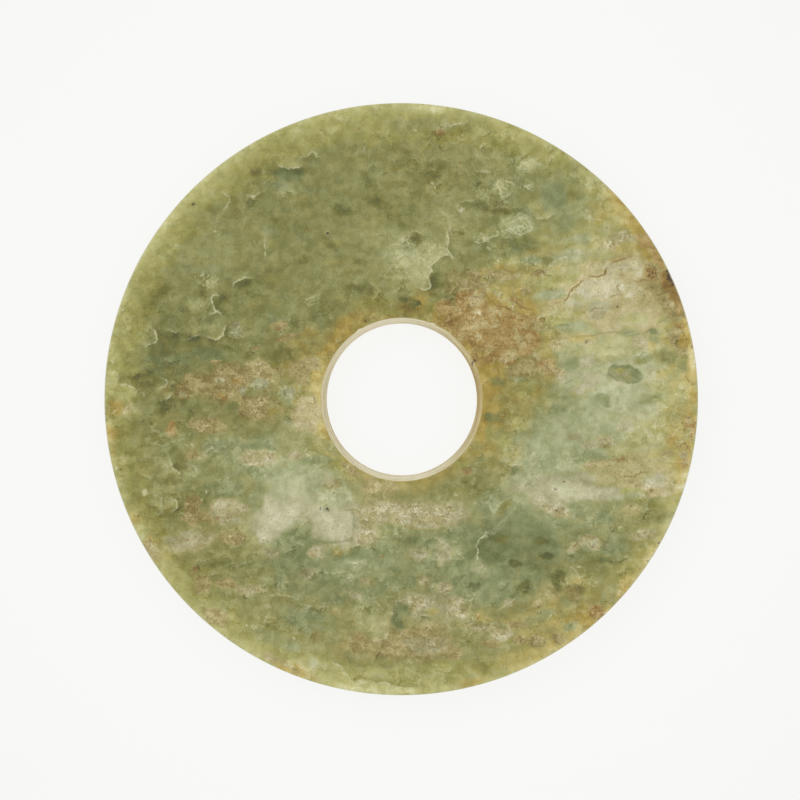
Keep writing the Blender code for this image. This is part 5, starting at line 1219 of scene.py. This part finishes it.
def jade_disc(low, high):
    """The finished stone, with its fields, filling the box from low to high in metres."""
    mesh = turned_stone()
    places = np.empty(len(mesh.vertices) * 3)
    mesh.vertices.foreach_get("co", places)
    places = places.reshape(-1, 3)
    radius = np.hypot(places[:, 0], places[:, 1])
    depth = np.maximum(upper_height(radius) - places[:, 2], 0.0)
    bore = smooth_step(*(MOUTH_RADIUS + out for out in BORE_BAND), radius)
    places = made_uneven(places)
    fields = painted_fields(places, depth, bore)
    reached = np.hypot(places[:, 0], places[:, 1])
    # a painted highlight along the rim's arris: paler grey stone where the edge catches the light
    fields["frost"] = smooth_step(*(RADIUS - short for short in ARRIS_HIGHLIGHT_BAND), reached)
    places = worn(places, depth, np.clip(fields["tan"] + fields["rust"], 0, 1))
    places = with_chips(places, RIM_CHIPS, (0.0, 0.0), RADIUS, -1)
    places = with_chips(places, MOUTH_CHIPS, BORE_CENTRE, MOUTH_RADIUS + MOUTH_CHAMFER, 1)
    places = kept_in_box(places, np.array(low) / MM, np.array(high) / MM)
    mesh.vertices.foreach_set("co", (places * MM).ravel())
    mesh.set_sharp_from_angle(angle=SHARP_ANGLE)
    store(mesh, fields)
    mesh.update()
    stone = bpy.data.objects.new("jade_disc", mesh)
    bpy.context.scene.collection.objects.link(stone)
    return stone


# ---------------------------------------------------------------- material

GLOSS = 0.27  # the roughness of the sound, polished stone
GLASSINESS = 1.6  # its index of refraction
RELIEF_DEPTH = 0.1 * MM
RELIEF_STRENGTH = 0.25
BAND_TURN = math.radians(-9)  # the bands run this far off level
LOOSE_PUSH = 3.2  # how far the loose places stray, in millimetres
BESIDE = (0.3, -0.5, 0.0)  # from a flake towards the side where it ends in a step, which takes the painted highlight and shadow

# Colours of the fine marks, on a scale of 255.
SEAM_RUST = (132, 108, 62)
LOOSE_GRAIN = (122, 98, 54)
PEPPER_BROWN = (108, 84, 36)
LACE_PALE = (200, 202, 160)
LINE_DARK = (96, 104, 62)
LINE_PALE = (202, 202, 160)
LINE_BROWN = (112, 88, 34)
# the colour of the painted highlight on the rim's arris
ARRIS_HIGHLIGHT_COLOUR = (196, 194, 164)
GROUND_WALL = (240, 230, 206)
DOT_MARKS = (
    ("rust_dot", (140, 108, 24), 0.6),
    ("dark_dot", (100, 84, 16), 0.65),
    ("black_dot", (80, 66, 20), 0.9),
    ("pale_dot", (198, 196, 152), 0.6),
)


class Wire:
    """A socket in a material's nodes. Arithmetic on it adds Math nodes."""

    def __init__(self, tree, socket):
        self.tree = tree
        self.socket = socket

    def math(self, operation, *values):
        return node(self.tree, "ShaderNodeMath", {"operation": operation}, dict(enumerate(values)))

    def __add__(self, other):
        return self.math("ADD", self, other)

    def __sub__(self, other):
        return self.math("SUBTRACT", self, other)

    def __rsub__(self, other):
        return self.math("SUBTRACT", other, self)

    def __mul__(self, other):
        return self.math("MULTIPLY", self, other)

    def __abs__(self):
        return self.math("ABSOLUTE", self)

    __radd__ = __add__
    __rmul__ = __mul__

    def above(self, other):
        return self.math("MAXIMUM", self, other)

    def rising(self, low, high):
        """0 below low, 1 above high and a smooth rise between."""
        settings = {"interpolation_type": "SMOOTHSTEP"}
        values = {"Value": self, "From Min": low, "From Max": high, "To Min": 0.0, "To Max": 1.0}
        return node(self.tree, "ShaderNodeMapRange", settings, values)

    def falling(self, low, high):
        return 1 - self.rising(low, high)


def node(tree, kind, settings, values, output=0):
    """A new node: its settings first, then the values or wires of its sockets."""
    made = tree.nodes.new(kind)
    for name, setting in settings.items():
        if name == "stops":
            set_stops(made.color_ramp, setting)
        else:
            setattr(made, name, setting)
    for name, value in values.items():
        if isinstance(value, Wire):
            tree.links.new(value.socket, made.inputs[name])
        else:
            made.inputs[name].default_value = value
    return Wire(tree, made.outputs[output])


def set_stops(ramp, stops):
    while len(ramp.elements) > 1:
        ramp.elements.remove(ramp.elements[-1])
    first, *rest = stops
    ramp.elements[0].position, ramp.elements[0].color = first
    for position, colour in rest:
        ramp.elements.new(position).color = colour


def new_material(name):
    """A material with no nodes yet, and its tree."""
    material = bpy.data.materials.new(name)
    material.use_nodes = True
    material.node_tree.nodes.clear()
    return material, material.node_tree


def show(tree, surface):
    """Makes this the surface of the tree's material."""
    output = tree.nodes.new("ShaderNodeOutputMaterial")
    tree.links.new(surface.socket, output.inputs["Surface"])


def linear(channel):
    """A channel on a scale of 255, as the amount of light it stands for."""
    share = channel / 255
    return share / 12.92 if share <= 0.04045 else ((share + 0.055) / 1.055) ** 2.4


def stone_colour(red, green, blue):
    """The colour under the polish for one seen through it, on a scale of 255."""
    seen = (linear(c) for c in (red, green, blue))
    return tuple(max((c - SHEEN_VEIL) / BODY_LIGHT, 0.002) for c in seen) + (1.0,)


def hue_stops(hue):
    """A hue's colours from its darkest stone to its lightest."""
    stops = []
    for step in range(RAMP_STOPS):
        share = step / (RAMP_STOPS - 1)
        green = GREENS[0] + (GREENS[-1] - GREENS[0]) * share
        red_over, blue_over = (np.interp(green, GREENS, column) for column in zip(*HUES[hue]))
        stops.append((share, stone_colour(green + red_over, green, green + blue_over)))
    return stops


class StoneNodes:
    """The kinds of node that the jade is made of, in one material's tree."""

    def __init__(self, tree):
        self.tree = tree

    def node(self, kind, settings, values, output=0):
        return node(self.tree, kind, settings, values, output)

    def field(self, name):
        """A painted field of the mesh."""
        return self.node("ShaderNodeAttribute", {"attribute_name": name}, {}, output=2)

    def scaled(self, vector, factor):
        return self.node("ShaderNodeVectorMath", {"operation": "SCALE"}, {0: vector, "Scale": factor})

    def moved(self, vector, way):
        return self.node("ShaderNodeVectorMath", {"operation": "ADD"}, {0: vector, 1: way})

    def banded(self, where, scale):
        """The places turned to lie along the bands and scaled along and across them."""
        turn = (0, 0, BAND_TURN)
        values = {"Vector": where, "Rotation": turn, "Scale": scale}
        return self.node("ShaderNodeMapping", {}, values)

    def noise(self, where, scale, detail, roughness=0.5, output=0):
        """Noise from 0 to 1 that changes scale times in each unit of where."""
        values = {"Vector": where, "Scale": scale, "Detail": detail, "Roughness": roughness}
        return self.node("ShaderNodeTexNoise", {"noise_dimensions": "2D"}, values, output)

    def grain(self, where, scale, detail, roughness=0.55):
        """Noise about 0."""
        return self.noise(where, scale, detail, roughness) - 0.5

    def three_grains(self, where, scale, detail):
        """Three noises about 0 that have nothing to do with one another."""
        colour = self.noise(where, scale, detail, output=1)
        for channel in range(3):
            split = self.node("ShaderNodeSeparateColor", {}, {"Color": colour}, channel)
            yield split - 0.5

    def mix(self, under, over, share):
        """One colour over another, which is a wire or on a scale of 255."""
        if isinstance(over, tuple):
            over = stone_colour(*over)
        return self.node("ShaderNodeMix", {"data_type": "RGBA"}, {0: share, 6: under, 7: over}, output=2)

    def ramp(self, hue, tone):
        return self.node("ShaderNodeValToRGB", {"stops": hue_stops(hue)}, {"Fac": tone})


def stone_noises(nodes):
    """The places, noises and fields that the layers of the stone share."""
    jade = SimpleNamespace()
    metres = nodes.node("ShaderNodeTexCoord", {}, {}, output=3)
    place = nodes.scaled(metres, 1 / MM)
    depth = nodes.node("ShaderNodeSeparateXYZ", {}, {"Vector": place}, output=2)
    jade.bore = nodes.field("bore")
    x, y = (depth * (jade.bore * more + usual) for more, usual in zip(BORE_LEAN, DEPTH_LEAN))
    lean = nodes.node("ShaderNodeCombineXYZ", {}, {"X": x, "Y": y})
    jade.flat = nodes.moved(nodes.scaled(place, 1 - jade.bore * BORE_STRETCH), lean)
    push = nodes.noise(jade.flat, 0.45, 3, output=1)
    jade.loose = nodes.moved(jade.flat, nodes.scaled(push, LOOSE_PUSH))
    jade.drawn = nodes.banded(jade.loose, (0.55, 1.0, 1.0))

    jade.lime_drift, jade.sea_drift, jade.tone_drift = nodes.three_grains(jade.flat, 0.15, 3)
    jade.lime_patch, jade.sea_patch, jade.tone_patch = nodes.three_grains(jade.loose, 0.36, 4)
    bands = nodes.banded(jade.flat, (0.14, 0.42, 1.0))
    jade.tone_band, jade.lime_band, jade.sea_band = nodes.three_grains(bands, 1.0, 4)
    jade.speck = nodes.grain(jade.flat, 1.15, 4, 0.62)
    jade.grit = nodes.grain(jade.flat, 3.2, 2, 0.6)

    for name in ("amber", "tan", "rust", "cream", "rough"):
        setattr(jade, name, nodes.field(name))
    jade.flaky = jade.rough * (jade.sea_drift + jade.lime_drift + 0.5).rising(0.3, 0.62)
    stained = (jade.tan + jade.rust + jade.cream * 0.35 + jade.speck * 0.4).rising(0.2, 0.7)
    jade.weathered = stained * (jade.rough * 0.75 + 0.25)
    return jade


def flakes(nodes, jade, where, scale, detail, thickness):
    """Lobes of stone, with a painted highlight on the lip and a painted shadow at the foot on the side
    where they end in a step.
    """
    height = nodes.grain(where, scale, detail, 0.6)
    beside = nodes.grain(nodes.moved(where, BESIDE), scale, detail, 0.6)
    # facing picks the side of each lobe that ends in a step; the lip there gets a painted highlight and
    # the foot a painted shadow
    facing = (height - beside).rising(0.0, 0.05) * jade.stepped
    lip = abs(height - 0.8 * thickness).falling(0.0, thickness) * facing
    foot = abs(height + 1.4 * thickness).falling(0.0, 1.8 * thickness) * facing
    body = height.rising(-thickness, 2 * thickness)
    return height, lip, body * 0.05 + lip * 0.17 - foot * 0.16


def add_flakes(nodes, jade):
    """Wide and small flakes with their painted highlights and shadows, and the seams and veins between
    grains of the weathered stone.
    """
    jade.stepped = (jade.lime_drift + jade.sea_patch * 0.8).rising(-0.04, 0.1)
    _, wide_lit_lip, wide = flakes(nodes, jade, jade.loose, 0.16, 5, 0.034)
    lobes, small_lit_lip, small = flakes(nodes, jade, jade.drawn, 0.36, 4, 0.042)
    # the flakes' painted highlights on their lips, and their painted light and shade
    jade.lips = jade.flaky * wide_lit_lip.above(small_lit_lip * 0.8)
    jade.flakes = jade.flaky * (wide + small * 0.9)
    jade.lobe = lobes.rising(-0.05, 0.05) - 0.5
    settings = {"feature": "DISTANCE_TO_EDGE", "voronoi_dimensions": "2D"}
    gap = nodes.node("ShaderNodeTexVoronoi", settings, {"Vector": jade.loose, "Scale": 0.5})
    jade.seam = (gap + jade.speck * 0.25).falling(0.0, 0.14)
    jade.vein = abs(jade.tone_patch + jade.speck * 0.25).falling(0.006, 0.03)


def stone_tone(nodes, jade):
    """How light the stone is, from 0 for the darkest green to 1 for the lightest."""
    tone = nodes.field("light") - 0.02
    tone = tone + jade.tone_drift * 0.17 + jade.tone_patch * (jade.rough * 0.08 + 0.19)
    tone = tone + jade.tone_band * (jade.flaky * 0.08 + 0.1)
    tone = tone + (jade.tone_patch.rising(-0.05, 0.05) - 0.5) * (jade.flaky * 0.02 + 0.035)
    tone = tone + jade.speck * (jade.flaky * 0.1 + jade.rough * 0.055 + 0.075)
    # jade.flakes adds the flakes' painted light and shade
    tone = tone + jade.grit * (jade.rough * 0.04 + 0.02) + jade.flakes
    grainy = jade.grit * 0.22 + jade.speck * 0.2 + jade.lobe * 0.12 + 0.02
    return tone + jade.weathered * (grainy - jade.seam * 0.03 - jade.vein * 0.04)


def hues(nodes, jade):
    """Olive stone with the other hues over it, each in its painted share."""
    colour = nodes.ramp("olive", jade.tone)
    amber_patch = (jade.lime_patch * 0.8 + jade.lime_band * 0.5) * (jade.amber + 0.25)
    drifts = {
        "lime": jade.lime_drift * 1.2 + jade.lime_patch * 1.3 + jade.lime_band,
        "sea": jade.sea_drift * 0.8 + jade.sea_patch * 0.6 + jade.sea_band * 0.8,
        "amber": jade.tone_drift * (jade.amber * 0.6 + 0.6) + amber_patch,
    }
    for hue, drift in drifts.items():
        share = (nodes.field(hue) + drift + jade.speck * 0.3).rising(-0.1, 0.95)
        colour = nodes.mix(colour, nodes.ramp(hue, jade.tone), share)
    ragged = (jade.speck * 0.55 + jade.lime_patch * 0.45) * (jade.rough * 0.6 + 0.4) - jade.sea_band * 0.3
    for hue, lobed in (("tan", 0.1), ("rust", -0.6), ("cream", 0.3)):
        amount = getattr(jade, hue)
        share = (amount + ragged + jade.lobe * lobed * amount).rising(0.14, 0.66)
        colour = nodes.mix(colour, nodes.ramp(hue, jade.tone), share)
    # painted highlight on the flakes' lips
    return nodes.mix(colour, nodes.ramp("cream", jade.tone), jade.lips * 0.6)


def fine_marks(nodes, jade, colour):
    """Rust in the seams, loose dark grains, pepper, and pale lace along contours of noise."""
    rusty = (jade.sea_patch + 0.5).rising(0.46, 0.64) * 0.45
    colour = nodes.mix(colour, SEAM_RUST, jade.weathered * jade.seam.above(jade.vein) * rusty)
    grains = nodes.grain(jade.drawn, 2.2, 2).rising(0.09, 0.16) * 0.45
    colour = nodes.mix(colour, LOOSE_GRAIN, jade.weathered * grains)
    pepper = (nodes.grain(jade.flat, 1.5, 2) + nodes.field("pepper") * 0.14).rising(0.21, 0.27)
    colour = nodes.mix(colour, PEPPER_BROWN, pepper * 0.6)
    lace = (nodes.field("lace") + jade.speck * 1.2).rising(0.25, 0.8)
    net = abs(nodes.grain(jade.loose, 0.45, 5, 0.6)).falling(0.004, 0.034)
    return nodes.mix(colour, LACE_PALE, lace * net * 0.75)


def line(nodes, jade, name, half_width):
    """A drawn line, its half width in millimetres, with ragged strength."""
    gap = abs(nodes.field(name) + jade.speck * 0.9 + jade.grit * 0.5)
    strength = nodes.field(name + "_strength")
    broken = (jade.speck * 0.6 + jade.tone_patch + 0.5).falling(0.3, 0.56) * (1.15 - strength * 0.6)
    return gap.falling(half_width * 0.2, half_width) * strength * (1 - broken)


def drawn_marks(nodes, jade, colour):
    """The lines, each brown one in a wide stain of its own, and the dots."""
    colour = nodes.mix(colour, LINE_DARK, line(nodes, jade, "dark_line", 0.6) * 0.8)
    colour = nodes.mix(colour, LINE_PALE, line(nodes, jade, "pale_line", 0.42) * 0.8)
    stain = line(nodes, jade, "brown_line", 1.7) * nodes.field("brown_line_strength").rising(0.4, 0.8)
    colour = nodes.mix(colour, nodes.ramp("amber", jade.tone + 0.03), stain * 0.6)
    colour = nodes.mix(colour, LINE_BROWN, line(nodes, jade, "brown_line", 0.45) * 0.85)
    for name, shade, strength in DOT_MARKS:
        spot = (nodes.field(name) + jade.speck * 1.1 + jade.grit * 0.4).rising(0.3, 0.62)
        colour = nodes.mix(colour, shade, spot * strength)
    return colour


def jade_material():
    material, tree = new_material("jade")
    nodes = StoneNodes(tree)
    jade = stone_noises(nodes)
    add_flakes(nodes, jade)
    jade.tone = stone_tone(nodes, jade)
    colour = drawn_marks(nodes, jade, fine_marks(nodes, jade, hues(nodes, jade)))
    # painted highlight along the rim's arris
    colour = nodes.mix(colour, ARRIS_HIGHLIGHT_COLOUR, nodes.field("frost") * 0.4)
    colour = nodes.mix(colour, GROUND_WALL, nodes.field("bare_wall"))
    roughness = GLOSS + jade.weathered * 0.16 + jade.bore * 0.3 + jade.grit * 0.15
    height = jade.grit * jade.weathered * 0.6 + jade.speck * 0.25 + jade.bore * jade.grit
    relief = {"Strength": RELIEF_STRENGTH, "Distance": RELIEF_DEPTH, "Height": height}
    normal = nodes.node("ShaderNodeBump", {}, relief)
    values = {"Base Color": colour, "Roughness": roughness, "Normal": normal, "IOR": GLASSINESS}
    show(tree, nodes.node("ShaderNodeBsdfPrincipled", {}, values))
    return material


# ---------------------------------------------------------------- floor, light and camera

FLOOR_HALF = 2.5
FLOOR_LIGHT = 0.84
FLOOR_TINT = (1.0, 1.0, 0.985)
FLOOR_SHADE = 0.12  # the share of the light on it that the floor sends back
FLOOR_FADE = 0.12  # how much less light comes from it far from the middle
FLOOR_FADE_REACH = (0.05, 0.45)
DOME_LIGHT = 0.9
SOFTBOX_PLACE = (-0.55, 0.6, 0.95)
SOFTBOX_SIDE = 0.7
SOFTBOX_WATTS = 2.0
CAMERA_HEIGHT = 1.2
FIELD_WIDTH = 0.2431  # of the view, at half the stone's height
CAMERA_OFFSET = (-0.395 * MM, -0.27 * MM)
SENSOR = 36.0
NEAREST_SEEN = 0.05


def pale_floor():
    """A plain pale table, lit from inside, so that the stone casts next to no shadow on jade."""
    sheet = bmesh.new()
    bmesh.ops.create_grid(sheet, x_segments=8, y_segments=8, size=FLOOR_HALF)
    mesh = bpy.data.meshes.new("floor")
    sheet.to_mesh(mesh)
    sheet.free()
    floor = bpy.data.objects.new("floor", mesh)
    bpy.context.scene.collection.objects.link(floor)
    material, tree = new_material("pale_floor")
    place = node(tree, "ShaderNodeTexCoord", {}, {}, output=3)
    far = node(tree, "ShaderNodeVectorMath", {"operation": "LENGTH"}, {0: place}, output=1)
    light = FLOOR_LIGHT - far.rising(*FLOOR_FADE_REACH) * FLOOR_FADE
    glow = node(tree, "ShaderNodeEmission", {}, {"Color": FLOOR_TINT + (1,), "Strength": light})
    matt = node(tree, "ShaderNodeBsdfDiffuse", {}, {"Color": (FLOOR_SHADE,) * 3 + (1,)})
    show(tree, node(tree, "ShaderNodeAddShader", {}, {0: glow, 1: matt}))
    mesh.materials.append(material)
    return floor


def light_scene():
    world = bpy.data.worlds.new("dome")
    world.use_nodes = True
    background = world.node_tree.nodes["Background"]
    background.inputs["Color"].default_value = (1, 1, 1, 1)
    background.inputs["Strength"].default_value = DOME_LIGHT
    bpy.context.scene.world = world
    lamp = bpy.data.lights.new("softbox", "AREA")
    lamp.size = SOFTBOX_SIDE
    lamp.energy = SOFTBOX_WATTS
    softbox = bpy.data.objects.new("softbox", lamp)
    softbox.location = SOFTBOX_PLACE
    softbox.rotation_euler = (-Vector(SOFTBOX_PLACE)).to_track_quat("-Z", "Y").to_euler()
    bpy.context.scene.collection.objects.link(softbox)


def place_camera(middle_height):
    data = bpy.data.cameras.new("camera")
    data.sensor_width = SENSOR
    data.lens = SENSOR * (CAMERA_HEIGHT - middle_height) / FIELD_WIDTH
    data.clip_start = NEAREST_SEEN
    camera = bpy.data.objects.new("camera", data)
    camera.location = (*CAMERA_OFFSET, CAMERA_HEIGHT)
    bpy.context.scene.collection.objects.link(camera)
    bpy.context.scene.camera = camera


# ---------------------------------------------------------------- the scene


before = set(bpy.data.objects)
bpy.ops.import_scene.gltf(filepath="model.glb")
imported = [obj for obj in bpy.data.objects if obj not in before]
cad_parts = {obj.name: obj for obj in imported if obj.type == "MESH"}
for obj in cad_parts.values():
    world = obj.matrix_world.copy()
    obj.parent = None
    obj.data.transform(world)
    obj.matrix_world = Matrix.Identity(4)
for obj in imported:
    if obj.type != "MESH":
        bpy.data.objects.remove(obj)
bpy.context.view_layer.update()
solid_low, solid_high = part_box("bi_disc")
RADIUS = ((solid_high.x - solid_low.x) + (solid_high.y - solid_low.y)) / 4 / MM
OVALITY = ((solid_high.x - solid_low.x) - (solid_high.y - solid_low.y)) / 4 / MM

stone = jade_disc(solid_low, solid_high)
stone.data.materials.append(jade_material())
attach(stone, "root")
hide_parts("bi_disc")
pale_floor()
light_scene()
place_camera(solid_high.z / 2)
bpy.context.scene.view_settings.view_transform = "Standard"
